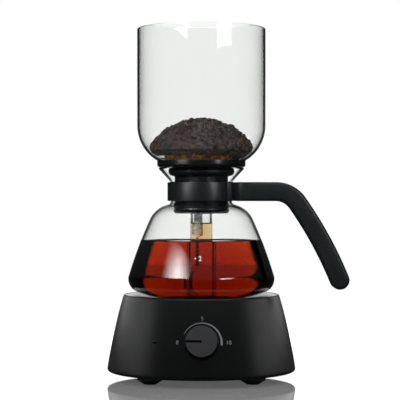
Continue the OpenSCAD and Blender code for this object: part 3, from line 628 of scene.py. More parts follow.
# the last colour is the glass's own tint along its wall together with a painted dark edge
GLASS_FINISH = blown_glass("blown_borosilicate_glass", GLASS_IOR, "#3f4a48")
LIP_GLASS = blown_glass("thin_flared_glass_lip", LIP_IOR, "#8c9694")
WETTED_GLASS = wetted_glass()
TUBE_IN_COFFEE = stem_glass_in_coffee()
COFFEE = coffee_behind_glass()
COFFEE_TOP = filtered_coffee("filtered_coffee_surface", COFFEE_IOR)[0]
COFFEE_IN_STEM = filtered_coffee("filtered_coffee_in_stem", UNBENT_IOR)[0]


def worked_metal(name, colour, roughness, grain, stretch, depth, metallic=1.0):
    """Metal with a grain drawn out along one axis, as rolling, drawing or brushing leaves it."""
    made, tree, shader, coords = finish(name, colour, roughness, Metallic=metallic)
    along = add_node(tree, "Mapping", {}, {"Vector": (coords, "Object"), "Scale": stretch})
    lines = add_node(tree, "TexNoise", {},
                     {"Vector": (along, "Vector"), "Scale": every(grain), "Detail": 4.0})
    bump = add_node(tree, "Bump", {}, {"Height": (lines, "Fac"), "Strength": 0.4, "Distance": depth * MM})
    tree.links.new(bump.outputs["Normal"], shader.inputs["Normal"])
    uneven = add_node(tree, "MapRange", {},
                      {"Value": (lines, "Fac"), "From Min": 0.35, "From Max": 0.65,
                       "To Min": roughness - 0.06, "To Max": roughness + 0.06})
    tree.links.new(uneven.outputs["Result"], shader.inputs["Roughness"])
    return made


def spun_steel():
    """Stainless plate finished on a lathe: fine rings round the axis give a satin with streaks of light."""
    made, tree, shader, coords = finish("ring_brushed_stainless_steel", "#a9abae", 0.28, Metallic=1.0)
    flat = add_node(tree, "VectorMath", {"operation": "MULTIPLY"},
                    {0: (coords, "Object"), 1: (1.0, 1.0, 0.0)})
    radius = add_node(tree, "VectorMath", {"operation": "LENGTH"}, {0: (flat, "Vector")})
    ring = add_node(tree, "CombineXYZ", {}, {"X": (radius, "Value")})
    # brushed at about 0.05 mm, drawn at 0.4 mm so that it shows
    lines = add_node(tree, "TexNoise", {}, {"Vector": (ring, "Vector"), "Scale": every(0.4), "Detail": 3.0})
    bump = add_node(tree, "Bump", {}, {"Height": (lines, "Fac"), "Strength": 0.3, "Distance": 0.01 * MM})
    tree.links.new(bump.outputs["Normal"], shader.inputs["Normal"])
    return made


def heat_proof_coating():
    """Baked silicone coating on aluminium: matt dark grey, dulled in patches where the flask stands."""
    made, tree, shader, coords = finish("baked_silicone_coating", "#2b2b2d", 0.5)
    wear = add_node(tree, "TexNoise", {}, {"Vector": (coords, "Object"), "Scale": every(9), "Detail": 6.0})
    shade = add_node(tree, "Mix", COLOURS,
                     {"Factor": (wear, "Fac"), "A": srgb("#242426"), "B": srgb("#343334")})
    tree.links.new(shade.outputs["Result"], shader.inputs["Base Color"])
    grit = add_node(tree, "TexNoise", {}, {"Vector": (coords, "Object"), "Scale": every(0.6), "Detail": 2.0})
    bump = add_node(tree, "Bump", {}, {"Height": (grit, "Fac"), "Strength": 0.5, "Distance": 0.03 * MM})
    tree.links.new(bump.outputs["Normal"], shader.inputs["Normal"])
    return made


def stove_enamel():
    """Stove-enamelled steel band: black, with the faint orange peel that sprayed enamel sets with."""
    made, tree, shader, coords = finish("stove_enamelled_steel", "#101215", 0.34)
    peel = add_node(tree, "TexNoise", {}, {"Vector": (coords, "Object"), "Scale": every(2.2), "Detail": 1.0})
    bump = add_node(tree, "Bump", {}, {"Height": (peel, "Fac"), "Strength": 0.35, "Distance": 0.02 * MM})
    tree.links.new(bump.outputs["Normal"], shader.inputs["Normal"])
    return made


def stained_flannel():
    """Cotton flannel soaked in coffee: amber brown in blotches, darker where grounds lie, with a nap."""
    made, tree, shader, coords = finish("coffee_stained_cotton_flannel", "#a5691f", 0.85,
                                        Sheen_Weight=0.25, Sheen_Roughness=0.5)
    blot = add_node(tree, "TexNoise", {},
                    {"Vector": (coords, "Object"), "Scale": every(5), "Detail": 6.0, "Roughness": 0.65})
    soak = add_node(tree, "MapRange", SMOOTHLY,
                    {"Value": (blot, "Fac"), "From Min": 0.36, "From Max": 0.62})
    stain = add_node(tree, "Mix", COLOURS,
                     {"Factor": (soak, "Result"), "A": srgb("#5f3410"), "B": srgb("#c58a33")})
    specks = add_node(tree, "TexNoise", {},
                      {"Vector": (coords, "Object"), "Scale": every(1.1), "Detail": 3.0})
    grounds = add_node(tree, "MapRange", SMOOTHLY,
                       {"Value": (specks, "Fac"), "From Min": 0.58, "From Max": 0.68})
    speckled = add_node(tree, "Mix", COLOURS,
                        {"Factor": (grounds, "Result"), "A": (stain, "Result"), "B": srgb("#2c170b")})
    tree.links.new(speckled.outputs["Result"], shader.inputs["Base Color"])
    nap = add_node(tree, "TexNoise", {}, {"Vector": (coords, "Object"), "Scale": every(0.7), "Detail": 4.0})
    bump = add_node(tree, "Bump", {}, {"Height": (nap, "Fac"), "Strength": 0.7, "Distance": 0.25 * MM})
    tree.links.new(bump.outputs["Normal"], shader.inputs["Normal"])
    return made


def roast_grounds():
    """Damp ground coffee, dark roast: each grain its own brown, some nearly black, with an oily gleam.
    The grains are about 0.9 mm, drawn at 1.5 mm so that they show."""
    made, tree, shader, coords = finish("damp_dark_roast_grounds", "#2a1c16", 0.5)
    grain = add_node(tree, "TexVoronoi", {}, {"Vector": (coords, "Object"), "Scale": every(1.5)})
    tone = add_node(tree, "SeparateColor", {}, {"Color": (grain, "Color")})
    browns = add_node(tree, "Mix", COLOURS,
                      {"Factor": (tone, "Red"), "A": srgb("#070403"), "B": srgb("#36261f")})
    patch = add_node(tree, "TexNoise", {}, {"Vector": (coords, "Object"), "Scale": every(14), "Detail": 2.0})
    damp = add_node(tree, "MapRange", {},
                    {"Value": (patch, "Fac"), "From Min": 0.35, "From Max": 0.65,
                     "To Min": 0.5, "To Max": 0.85})
    tree.links.new(browns.outputs["Result"], shader.inputs["Base Color"])
    tree.links.new(damp.outputs["Result"], shader.inputs["Roughness"])
    bump = add_node(tree, "Bump", {}, {"Height": (grain, "Distance"), "Strength": 0.8, "Distance": 0.4 * MM})
    tree.links.new(bump.outputs["Normal"], shader.inputs["Normal"])
    return made


def fibre_sleeving(name, dark, light):
    """Braided glass-fibre sleeving over the leads, with the yarn's slanting ridges under lacquer."""
    made, tree, shader, coords = finish(name, dark, 0.6)
    # diagonal waves repeat about 2.8 times for each unit of their scale, so these ridges are
    # 2.6 mm apart, twice as coarse as real ones so that they show
    yarn = add_node(tree, "TexWave", {"wave_type": "BANDS", "bands_direction": "DIAGONAL"},
                    {"Vector": (coords, "Object"), "Scale": every(7.2), "Distortion": 1.0})
    colour = add_node(tree, "Mix", COLOURS, {"Factor": (yarn, "Fac"), "A": srgb(dark), "B": srgb(light)})
    tree.links.new(colour.outputs["Result"], shader.inputs["Base Color"])
    bump = add_node(tree, "Bump", {}, {"Height": (yarn, "Fac"), "Strength": 0.6, "Distance": 0.1 * MM})
    tree.links.new(bump.outputs["Normal"], shader.inputs["Normal"])
    return made


def board_laminate():
    """Glass-epoxy board under green solder mask: glossy, with the weave just showing."""
    made, tree, shader, coords = finish("masked_glass_epoxy_board", "#1d4a2c", 0.3)
    # a brick is half a unit of the scale wide and a quarter high: 4 by 2 mm
    weave = add_node(tree, "TexBrick", {},
                     {"Vector": (coords, "Object"), "Scale": every(8), "Color1": srgb("#1b4729"),
                      "Color2": srgb("#235433"), "Mortar": srgb("#2f6b41"), "Mortar Size": 0.03})
    tree.links.new(weave.outputs["Color"], shader.inputs["Base Color"])
    bump = add_node(tree, "Bump", {}, {"Height": (weave, "Fac"), "Strength": 0.3, "Distance": 0.02 * MM})
    tree.links.new(bump.outputs["Normal"], shader.inputs["Normal"])
    return made


def oxidised_sheath():
    """Nickel-alloy sheath of the heater after many heatings: dull, tinted brown and blue in patches."""
    made, tree, shader, coords = finish("oxidised_heater_sheath", "#6b625a", 0.45, Metallic=1.0)
    tint = add_node(tree, "TexNoise", {}, {"Vector": (coords, "Object"), "Scale": every(7), "Detail": 4.0})
    colour = add_node(tree, "Mix", COLOURS,
                      {"Factor": (tint, "Fac"), "A": srgb("#7c6248"), "B": srgb("#55606c")})
    tree.links.new(colour.outputs["Result"], shader.inputs["Base Color"])
    return made


def lamp_window():
    """Smoked acrylic light guide: nearly black when the lamp is off, polished, clouded a little inside."""
    made, tree, shader, coords = finish("smoked_acrylic", "#0c0d0f", 0.12, IOR=1.49)
    cloud = add_node(tree, "TexNoise", {}, {"Vector": (coords, "Object"), "Scale": every(1.0), "Detail": 2.0})
    colour = add_node(tree, "Mix", COLOURS,
                      {"Factor": (cloud, "Fac"), "A": srgb("#010101"), "B": srgb("#070809")})
    tree.links.new(colour.outputs["Result"], shader.inputs["Base Color"])
    return made


def printed_ink(name, colour, roughness):
    """Screen-printed ink: an even film with the edge of the mesh's texture in it."""
    made, tree, shader, coords = finish(name, colour, roughness)
    screen = add_node(tree, "TexNoise", {},
                      {"Vector": (coords, "Object"), "Scale": every(0.5), "Detail": 2.0})
    shade = add_node(tree, "HueSaturation", {}, {"Color": srgb(colour)})
    tone = add_node(tree, "MapRange", {}, {"Value": (screen, "Fac"), "To Min": 0.8, "To Max": 1.15})
    tree.links.new(tone.outputs["Result"], shade.inputs["Value"])
    tree.links.new(shade.outputs["Color"], shader.inputs["Base Color"])
    return made


# colour, roughness, width and depth of the grain in mm, and how uneven the gloss is
HOUSING = moulded_plastic("moulded_black_abs", "#090b0d", 0.34, 0.7, 0.02, 0.04)
COVER = moulded_plastic("plain_black_abs", "#1a1b1d", 0.5, 1.0, 0.02, 0.04)
GLAND_PLASTIC = moulded_plastic("moulded_black_nylon", "#141516", 0.45, 1.1, 0.03, 0.05)
HANDLE = moulded_plastic("moulded_phenolic_resin", "#0e1214", 0.42, 0.9, 0.01, 0.03)
KNOB = moulded_plastic("moulded_dark_grey_abs", "#37373b", 0.5, 1.5, 0.2, 0.04)
RUBBER = moulded_plastic("moulded_silicone_rubber", "#090b0e", 0.24, 1.5, 0.006, 0.05)
FOOT_RUBBER = moulded_plastic("moulded_foot_rubber", "#101011", 0.7, 0.8, 0.03, 0.05)
LINER = moulded_plastic("moulded_ptfe_liner", "#c9c7c0", 0.4, 1.2, 0.01, 0.05)
NYLON = moulded_plastic("natural_nylon", "#d8d3c4", 0.45, 1.4, 0.02, 0.05)
PHENOLIC = moulded_plastic("brown_phenolic", "#4a2c1c", 0.45, 1.0, 0.02, 0.05)
EPOXY_CASES = moulded_plastic("epoxy_component_cases", "#1f3d63", 0.4, 0.9, 0.02, 0.06)
DIODE = moulded_plastic("diffused_epoxy_diode", "#b8402c", 0.25, 0.5, 0.01, 0.03)
# the knob's near-black body, which is also painted shade for the dark band below its face
BLACK_BODY_AND_PAINTED_SHADE = moulded_plastic("black_knob_body_and_painted_shade", "#050506", 0.5, 0.8, 0.03, 0.04)
STEEL = spun_steel()
# colour, roughness, width of the grain in mm, its stretch along each axis, and its depth in mm;
# so fine a wire gleams from all round it, so it is drawn partly as a pale body
WIRE = worked_metal("drawn_stainless_wire", "#e2e4e6", 0.25, 2.0, (1.0, 1.0, 1.0), 0.1, metallic=0.5)
ROLLED_STEEL = worked_metal("rolled_stainless_sheet", "#b9bbbe", 0.3, 0.6, (1.0, 0.1, 1.0), 0.006)
ZINC = worked_metal("zinc_plated_steel", "#b4b8ba", 0.35, 1.6, (1.0, 1.0, 1.0), 0.01)
NICKEL = worked_metal("nickel_plated_steel", "#c9c3b6", 0.22, 0.9, (1.0, 1.0, 0.3), 0.004)
ALUMINIUM = worked_metal("extruded_aluminium", "#c9cbcd", 0.38, 0.5, (1.0, 0.08, 1.0), 0.01)
DARK_COATING = heat_proof_coating()
ENAMEL = stove_enamel()
CLOTH = stained_flannel()
GROUNDS = roast_grounds()
RED_SLEEVE = fibre_sleeving("lacquered_red_sleeving", "#8a1f18", "#b4362b")
GREY_SLEEVE = fibre_sleeving("lacquered_grey_sleeving", "#6d6f70", "#8d8f90")
LAMINATE = board_laminate()
SHEATH = oxidised_sheath()
LAMP_WINDOW = lamp_window()
WHITE_PRINT = printed_ink("fired_white_enamel_ink", "#e6e6e4", 0.35)
GREY_PRINT = printed_ink("pad_printed_grey_ink", "#83888f", 0.45)


def refinish(material, *nodes):
    """Gives CAD nodes that stay in view their material."""
    for name in nodes:
        for slot in frame["nodes"][name].material_slots:
            slot.material = material


# ---------------------------------------------------------------- heater base

def make_housing():
    foot_z = BASE_FOOT + FOOT_EDGE_R
    rim_z = BASE_TOP - RIM_EDGE_R
    foot_turn = base_slope(foot_z, FOOT_EDGE_R)
    rim_turn = base_slope(rim_z, RIM_EDGE_R)
    housing = turned("housing", (
        arc((base_radius(foot_z, FOOT_EDGE_R), foot_z), FOOT_EDGE_R, -90, foot_turn, 8)
        + arc(SIDE_OF_BASE, BASE_SIDE_R, foot_turn, rim_turn, 24)
        + arc((base_radius(rim_z, RIM_EDGE_R), rim_z), RIM_EDGE_R, rim_turn, 90, 8)
        + arc((PLATE_R + 0.5, BASE_TOP - 0.3), 0.3, 90, 180, 3)
        + [(PLATE_R + 0.2, LEDGE_Z), (LEDGE_R, LEDGE_Z), (LEDGE_R, LEDGE_Z - 1.8)]
        + base_side(LEDGE_Z - 1.8, BASE_FOOT, WALL, 12)
        + [(base_radius(foot_z, FOOT_EDGE_R), BASE_FOOT)]), steps=192)
    holes = ((LAMP_ANGLE, LAMP_Z, 1.55, 6), (BACK, GLAND_Z, 7.8, 0.6), (BACK, GLAND_Z, 5.6, 6))
    for angle, z, radius, depth in holes:
        cut(housing, place(cylinder("hole", radius, -depth, 3), on_side(angle, z)))
    smooth_below(housing, 30)
    dress(housing, "base", "housing_plastic", HOUSING, "base_housing")
    return housing


def make_top_plate():
    flat_r, well_r, well_z = 52.0, 33.0, BASE_TOP - 2.9
    plate = turned("top_plate_pressing", (
        [(PLATE_R, LEDGE_Z), (PLATE_R, LEDGE_Z + 0.7)]
        + arc((PLATE_R - 0.3, LEDGE_Z + 0.7), 0.3, 0, 90, 4)
        + [(flat_r + 0.6, LEDGE_Z + 1), (flat_r, LEDGE_Z + 0.97), (flat_r - 1, LEDGE_Z + 0.9)]
        + [(well_r + 2.4, well_z + 0.2)]
        + arc((well_r + 1.2, well_z - 1.05), 1.2, 75, 180, 7)
        + [(well_r, BASE_TOP - 6.5), (well_r + 1, BASE_TOP - 6.5), (well_r + 1, well_z - 1.5)]
        + [(well_r + 2.1, well_z - 0.85), (flat_r - 2, LEDGE_Z - 0.15), (flat_r, LEDGE_Z)]
        + [(PLATE_R, LEDGE_Z)]), steps=160)
    dress(plate, "base", "satin_steel", STEEL, "top_plate")


def make_hot_plate():
    profile = ([(0, HOT_PLATE_BOTTOM), (HOT_PLATE_R, HOT_PLATE_BOTTOM)]
               + arc((HOT_PLATE_R - 0.8, HOT_PLATE_TOP - 0.8), 0.8, 0, 90, 5) + [(0, HOT_PLATE_TOP)])
    dress(turned("heating_plate", profile), "base", "hot_plate_coating", DARK_COATING, "hot_plate")


def make_feet():
    foot = turned("foot", (
        [(0, 0), (4.9, 0)] + arc((4.9, 0.5), 0.5, -90, 0, 3)
        + [(5.9, 0.8), (8.6, 2.5)] + arc((8.6, 2.8), 0.3, -40, 60, 3)
        + [(2.95, 3.0), (2.95, 8.2), (3.7, 8.2), (2.4, 10.6), (0, 10.6)]), steps=64)
    feet = []
    for i in range(4):
        turn = Matrix.Rotation(math.radians(45 + 90 * i), 4, "Z")
        move = Matrix.Translation((FOOT_CIRCLE_R * MM, 0, 0))
        feet.append(copy_at(foot, f"push_in_foot_{i + 1}", turn @ move))
    bpy.data.objects.remove(foot)
    for piece in feet:
        dress(piece, "base", "foot_rubber", FOOT_RUBBER)
    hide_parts("rubber_feet")


def make_knob():
    wall = 1.6
    knob = turned("dial_knob", (
        [(0, KNOB_H)] + arc((KNOB_R - 0.9, KNOB_H - 0.6), 0.6, 90, 2, 5)
        + [(KNOB_R + 0.6, 0.9)] + arc((KNOB_R + 0.4, 0.7), 0.2, 0, -90, 3)
        + [(KNOB_R + 0.3 - wall, 0.5), (KNOB_R - wall, KNOB_H - 2), (5, KNOB_H - 2), (5, 3.4), (3.02, 3.4)]
        + [(3.02, 6.9), (0, 6.9)]))
    groove = block("groove", (-KNOB_R - 2, -0.9, KNOB_H - 1.3), (0, 0.9, KNOB_H + 2))
    apply_modifier(groove, "BEVEL", width=0.2 * MM, segments=2)
    cut(knob, groove)
    smooth_below(knob, 30)
    dress(knob, "knob", "knob_finish", KNOB, "control_knob")
    # painted shade, partly: the knob's sides and underside are drawn near black, as the dark band below its
    # face
    second_finish(knob, BLACK_BODY_AND_PAINTED_SHADE, lambda r, z, n: z < KNOB_H - 0.05 or n.z < 0.8)
    place(knob, on_side(FRONT, DIAL_Z))


def make_dial_print(housing):
    """The swelling arc and the plain figures round the dial, laid on the housing from in front."""
    ahead = on_side(FRONT, DIAL_Z) @ Matrix.Translation((0, 0, 6 * MM))
    swell = begin("dial_arc", bpy.ops.mesh.primitive_grid_add, x_subdivisions=60, y_subdivisions=2, size=2)
    for vertex in swell.data.vertices:
        along, across = (vertex.co.x + 1) / 2, (vertex.co.y + 1) / 2
        angle = math.radians(ARC_START - ARC_SWEEP * along)
        radius = ARC_R + across * (ARC_THIN + (ARC_THICK - ARC_THIN) * along)
        vertex.co = (radius * math.cos(angle) * MM, radius * math.sin(angle) * MM, 0)
    print_on(swell, ahead, housing)
    dress(swell, "base", "knob_finish", GREY_PRINT)
    for text, x, y in DIAL_FIGURES:
        mark = figure("dial_figure_" + text, text, FIGURE_H)
        print_on(mark, ahead @ Matrix.Translation((x * MM, y * MM, 0)), housing)
        dress(mark, "base", "knob_finish", GREY_PRINT)


def make_lamp_window():
    crown_r = LAMP_R * 1.3
    crown_z = -math.sqrt(crown_r ** 2 - LAMP_R ** 2) - 0.25
    edge = math.degrees(math.acos(LAMP_R / crown_r))
    window = turned("lamp_window", (
        [(0, -WALL - 2.3), (LAMP_R + 1, -WALL - 2.3)]
        + [(LAMP_R + 1, -WALL - 0.3), (LAMP_R, -WALL - 0.3)]
        + arc((0, crown_z), crown_r, edge, 90, 6)), steps=32)
    place(window, on_side(LAMP_ANGLE, LAMP_Z))
    dress(window, "base", "clear_plastic", LAMP_WINDOW, "indicator_lens")


def make_gland():
    flange_r, body_r, bore_r = 7.5, 5.4, 3.6
    gland = turned("cord_entry_gland", (
        [(bore_r, -9), (body_r, -9), (body_r, -0.6), (flange_r, -0.6), (flange_r, 1.3)]
        + arc((flange_r - 0.9, 1.3), 0.9, 0, 90, 6) + arc((bore_r + 0.8, 1.4), 0.8, 90, 180, 5)), steps=48)
    place(gland, on_side(BACK, GLAND_Z))
    dress(gland, "base", "gland_plastic", GLAND_PLASTIC, "cord_gland")


# ---------------------------------------------------------------- flask

def nearest_radius(profile, r, z):
    """Radius of the profile at a height; at the bottom, where it is nearly flat, the point's own
    radius is compared by height instead."""
    for (r0, z0), (r1, z1) in zip(profile, profile[1:]):
        if min(z0, z1) <= z <= max(z0, z1) and abs(z1 - z0) > 1e-6 and max(r0, r1) > r - 12:
            return r0 + (z - z0) / (z1 - z0) * (r1 - r0)
    return math.inf


def inwards(r, z):
    """Whether a point of the flask below its shoulder is on the inside of its wall."""
    return r < nearest_radius(flask_profile(GLASS / 2), r, z)


def make_flask():
    outer = flask_profile(0)
    inner = flask_profile(GLASS)
    lip = arc(LIP_C, GLASS / 2, -FLARE_ANGLE, 180 - FLARE_ANGLE, 10)
    vessel = turned("blown_flask", outer + lip + inner[::-1], steps=192)
    dress(vessel, "flask", "vessel_glass", GLASS_FINISH, "flask")
    second_finish(vessel, WETTED_GLASS, lambda r, z, n: z < LEVEL + 0.6 and inwards(r, z))
    second_finish(vessel, LIP_GLASS, lambda r, z, n: z > COLLAR_TOP + 0.5)
    return vessel


def make_level_mark(vessel):
    """A dot and a plain figure fired on the front of the flask at the lower level."""
    upright = Matrix.Translation((0, -70 * MM, MARK_Z * MM)) @ Matrix.Rotation(math.radians(90), 4, "X")
    dot = begin("level_dot", bpy.ops.mesh.primitive_circle_add, vertices=20, radius=0.5 * MM,
                fill_type="NGON")
    for mark, x in ((dot, MARK_X - 3.5), (figure("level_figure", "2", 3.5), MARK_X)):
        print_on(mark, Matrix.Translation((x * MM, 0, 0)) @ upright, vessel)
        dress(mark, "flask", "liner_plastic", WHITE_PRINT)


def make_coffee():
    overlap, rise = 0.3, 0.9
    side = flask_profile(GLASS - overlap, LEVEL + rise)
    edge_r, stem_r = side[-1][0], STEM_R - overlap
    surface = [(edge_r - 0.4, LEVEL + 0.35), (edge_r - 1.1, LEVEL + 0.08), (edge_r - 2.2, LEVEL),
               (edge_r - 2.4, LEVEL), (stem_r + 2.4, LEVEL),
               (stem_r + 2.2, LEVEL), (stem_r + 1.1, LEVEL + 0.08), (stem_r + 0.5, LEVEL + 0.3),
               (stem_r, LEVEL + 0.8), (stem_r - 0.6, LEVEL), (0, LEVEL)]
    liquid = turned("coffee_in_flask", side + surface, steps=192)
    dress(liquid, "flask", "coffee", COFFEE, "brewed_coffee")
    second_finish(liquid, COFFEE_TOP, lambda r, z, n: z > LEVEL - 0.1 and n.z > 0.2 and r > stem_r)


def make_stem_coffee():
    r = STEM_R - GLASS + 0.3
    column = turned("coffee_in_stem", [
        (0, LEVEL - 0.05), (r, LEVEL - 0.05), (r, STEM_LEVEL + 0.9), (r - 0.4, STEM_LEVEL + 0.35),
        (r - 1.1, STEM_LEVEL + 0.08), (r - 2.2, STEM_LEVEL), (0, STEM_LEVEL)], steps=96)
    dress(column, "chamber", "coffee", COFFEE_IN_STEM, "stem_coffee")
    second_finish(column, COFFEE_TOP, lambda r, z, n: z > STEM_LEVEL - 0.1 and n.z > 0.2)


def make_band():
    edge = 0.45
    ring = turned("collar_ring", (
        arc((BAND_R - edge, COLLAR_Z + edge), edge, -90, 0, 5)
        + arc((BAND_R - edge, COLLAR_TOP - edge), edge, 0, 90, 5)
        + [(BAND_IN_R, COLLAR_TOP), (BAND_IN_R, COLLAR_Z), (BAND_R - edge, COLLAR_Z)]), steps=160)
    dress(ring, "flask", "band_finish", ENAMEL, "collar_band")


def handle_side():
    """Outline of the handle seen from the front: level arm, bend, bowed grip with a round end."""
    half = HANDLE_T / 2
    mid = (COLLAR_Z + COLLAR_TOP) / 2
    slope = math.radians(GRIP_SLOPE)
    grip_c = (GRIP_END[0] - GRIP_R * math.sin(slope), GRIP_END[1] - GRIP_R * math.cos(slope))
    rise = mid - BEND_R - grip_c[1]
    reach = math.sqrt((GRIP_R - BEND_R) ** 2 - rise ** 2)
    bend_c = (grip_c[0] + reach, grip_c[1] + rise)
    turn, end_turn = angle_of(reach, rise), 90 - GRIP_SLOPE
    upper = arc(bend_c, BEND_R + half, 90, turn, 14) + arc(grip_c, GRIP_R + half, turn, end_turn, 16)[1:]
    lower = arc(grip_c, GRIP_R - half, end_turn, turn, 16) + arc(bend_c, BEND_R - half, turn, 90, 10)[1:]
    end = arc(GRIP_END, half, end_turn, end_turn - 180, 24)[1:-1]
    return [(ARM_START, mid + half)] + upper + end + lower + [(ARM_START, mid - half)]


def root_plan():
    """Outline of the handle's root from above: wings along the band and hollow sides."""
    seat_r = BAND_R + 0.1
    wing, corner, hollow = 17.5, 3.0, 9.0
    corner_c = (math.sqrt(seat_r ** 2 - wing ** 2) + 1.5, wing - corner)
    turn = math.asin((HANDLE_W / 2 + hollow - corner_c[1]) / (corner + hollow))
    hollow_c = (corner_c[0] + (corner + hollow) * math.cos(turn),
                corner_c[1] + (corner + hollow) * math.sin(turn))
    side = (arc(corner_c, corner, 100, math.degrees(turn), 8)
            + arc(hollow_c, hollow, 180 + math.degrees(turn), 270, 14)[1:])
    return [(16, wing - 2)] + side + [(x, -y) for x, y in side[::-1]] + [(16, 2 - wing)]


def make_handle():
    grip = prism("moulded_handle", handle_side(), -HANDLE_W / 2, HANDLE_W / 2)
    place(grip, Matrix.Rotation(math.radians(90), 4, "X"))
    apply_modifier(grip, "BEVEL", width=2.6 * MM, segments=5, limit_method="ANGLE",
                   angle_limit=math.radians(60), use_clamp_overlap=False)
    root = prism("handle_root", root_plan(), COLLAR_Z, COLLAR_TOP)
    apply_modifier(root, "BEVEL", width=0.7 * MM, segments=3, limit_method="ANGLE",
                   angle_limit=math.radians(60), use_clamp_overlap=False)
    apply_modifier(grip, "BOOLEAN", operation="UNION", object=root, solver="EXACT")
    bpy.data.objects.remove(root)
    cut(grip, cylinder("seat", BAND_R + 0.1, 100, 180, 160))
    recess = cylinder("recess", 3.6, 5.4, 20, 48)
    place(recess, Matrix.Translation((36 * MM, 0, (COLLAR_Z + COLLAR_TOP) / 2 * MM))
          @ Matrix.Rotation(math.radians(-90), 4, "X"))
    cut(grip, recess)
    smooth_below(grip, 35)
    dress(grip, "flask", "handle_resin", HANDLE, "handle")


# ---------------------------------------------------------------- upper bowl

def make_bowl():
    rim = arc((BOWL_R - GLASS / 2, BOWL_RIM - GLASS / 2), GLASS / 2, 0, 180, 10)
    end = arc((STEM_R - GLASS / 2, STEM_END + GLASS / 2), GLASS / 2, 180, 360, 10)
    outer, inner = bowl_profile(0), bowl_profile(GLASS)
    bore = [(STEM_R - GLASS, STEM_LEVEL + 0.6), (STEM_R - GLASS, LEVEL)]
    stem = [(STEM_R, LEVEL + 0.5)] + outer[:1]
    bowl = turned("blown_bowl", outer + rim + inner[::-1] + bore + end + stem, steps=192)
    dress(bowl, "chamber", "vessel_glass", GLASS_FINISH, "upper_bowl")
    second_finish(bowl, WETTED_GLASS,
                  lambda r, z, n: LEVEL < z < STEM_LEVEL + 0.6 and r < STEM_R - GLASS / 2)
    second_finish(bowl, TUBE_IN_COFFEE, lambda r, z, n: z < LEVEL + 0.5 and r < STEM_R + 1 and not
                  (z > LEVEL and r < STEM_R - GLASS / 2))


def make_seal():
    bore = STEM_R + 0.1
    rib_r = NECK_R - GLASS - 0.3
    groove_r = rib_r - 1.1
    rib_zs = [COLLAR_Z - 3.3 + 4 * i for i in range(5)]
    big_rib_z, end_z = COLLAR_Z - 6.6, COLLAR_Z - 8.8
    bulge_c, bulge_r = (22.4, BOWL_FLOOR - 4.6), 3.0
    disc_z = LIP_C[1] + GLASS / 2 + 0.3
    disc_angle = -60.3
    disc_r = DOME_C[0] + (DOME_R + 0.1) * math.cos(math.radians(disc_angle))
    edge = 1.6
    fillet = (STEM_R + STEM_FILLET_R, BOWL_FLOOR - STEM_FILLET_R)

    def rib(z, width):
        return arc((rib_r - width / 2, z), width / 2, -90, 90, 10)

    profile = [(bore, end_z)] + arc((groove_r - 0.6, end_z + 0.8), 0.8, -90, 0, 5) + rib(big_rib_z, 3.6)
    for z in rib_zs:
        profile += rib(z, 2)
    profile += ([(groove_r, bulge_c[1] - bulge_r - 0.6)] + arc(bulge_c, bulge_r, -90, 70, 16)
                + [(bulge_c[0] + 0.6, disc_z)]
                + arc((disc_r - edge, disc_z + edge), edge, -90, 0, 8)
                + arc(DOME_C, DOME_R + 0.1, disc_angle, -90, 8)
                + arc(fillet, STEM_FILLET_R - 0.1, 90, 180, 6) + [(bore, end_z)])
    dress(turned("rubber_seal", profile, steps=160, smooth=50), "chamber", "seal_rubber", RUBBER, "neck_seal")


def heap_height(r):
    return MOUND_Z + MOUND_H * (1 - min(r / MOUND_R, 1.0) ** 2) ** 0.75


def make_grounds():
    """A damp heap that stands on the cloth and reaches the glass: rough all over its top, with a foot
    that draws back from the glass unevenly."""
    steps = 60
    shelf = CLOTH_Z + CLOTH_H
    dome_in = DOME_R - GLASS - 0.3
    foot = math.degrees(math.asin((shelf - 2.4 - DOME_C[1]) / dome_in))
    edge = -math.degrees(math.acos((MOUND_R + 0.8 - DOME_C[0]) / dome_in))
    top = [(MOUND_R * s, heap_height(MOUND_R * s)) for s in (1 - i / steps for i in range(1, steps + 1))]
    heap = turned("heap_of_grounds", (
        [(0, shelf + 0.1), (CLOTH_R - 3, shelf + 0.1)]
        + [(CLOTH_R + 0.4, shelf - 1.0), (CLOTH_R + 1.6, shelf - 2.0)]
        + arc(DOME_C, dome_in, foot, edge, 8) + top), steps=200, smooth=0)
    for vertex in heap.data.vertices:
        if vertex.normal.z > 0.12:
            # single grains, and the lumps that they cling together in
            spot = vertex.co / MM
            rough = 0.8 * noise.noise(spot / 1.1) + 1.5 * noise.noise(spot / 3.5)
            vertex.co += vertex.normal * rough * MM
        elif vertex.co.xy.length > (CLOTH_R + 1) * MM:
            vertex.co.xy *= 1 - 0.035 * (1 + noise.noise(vertex.co / MM / 1.6))
    smooth_below(heap, 30)
    dress(heap, "chamber", "ground_coffee", GROUNDS, "coffee_grounds")


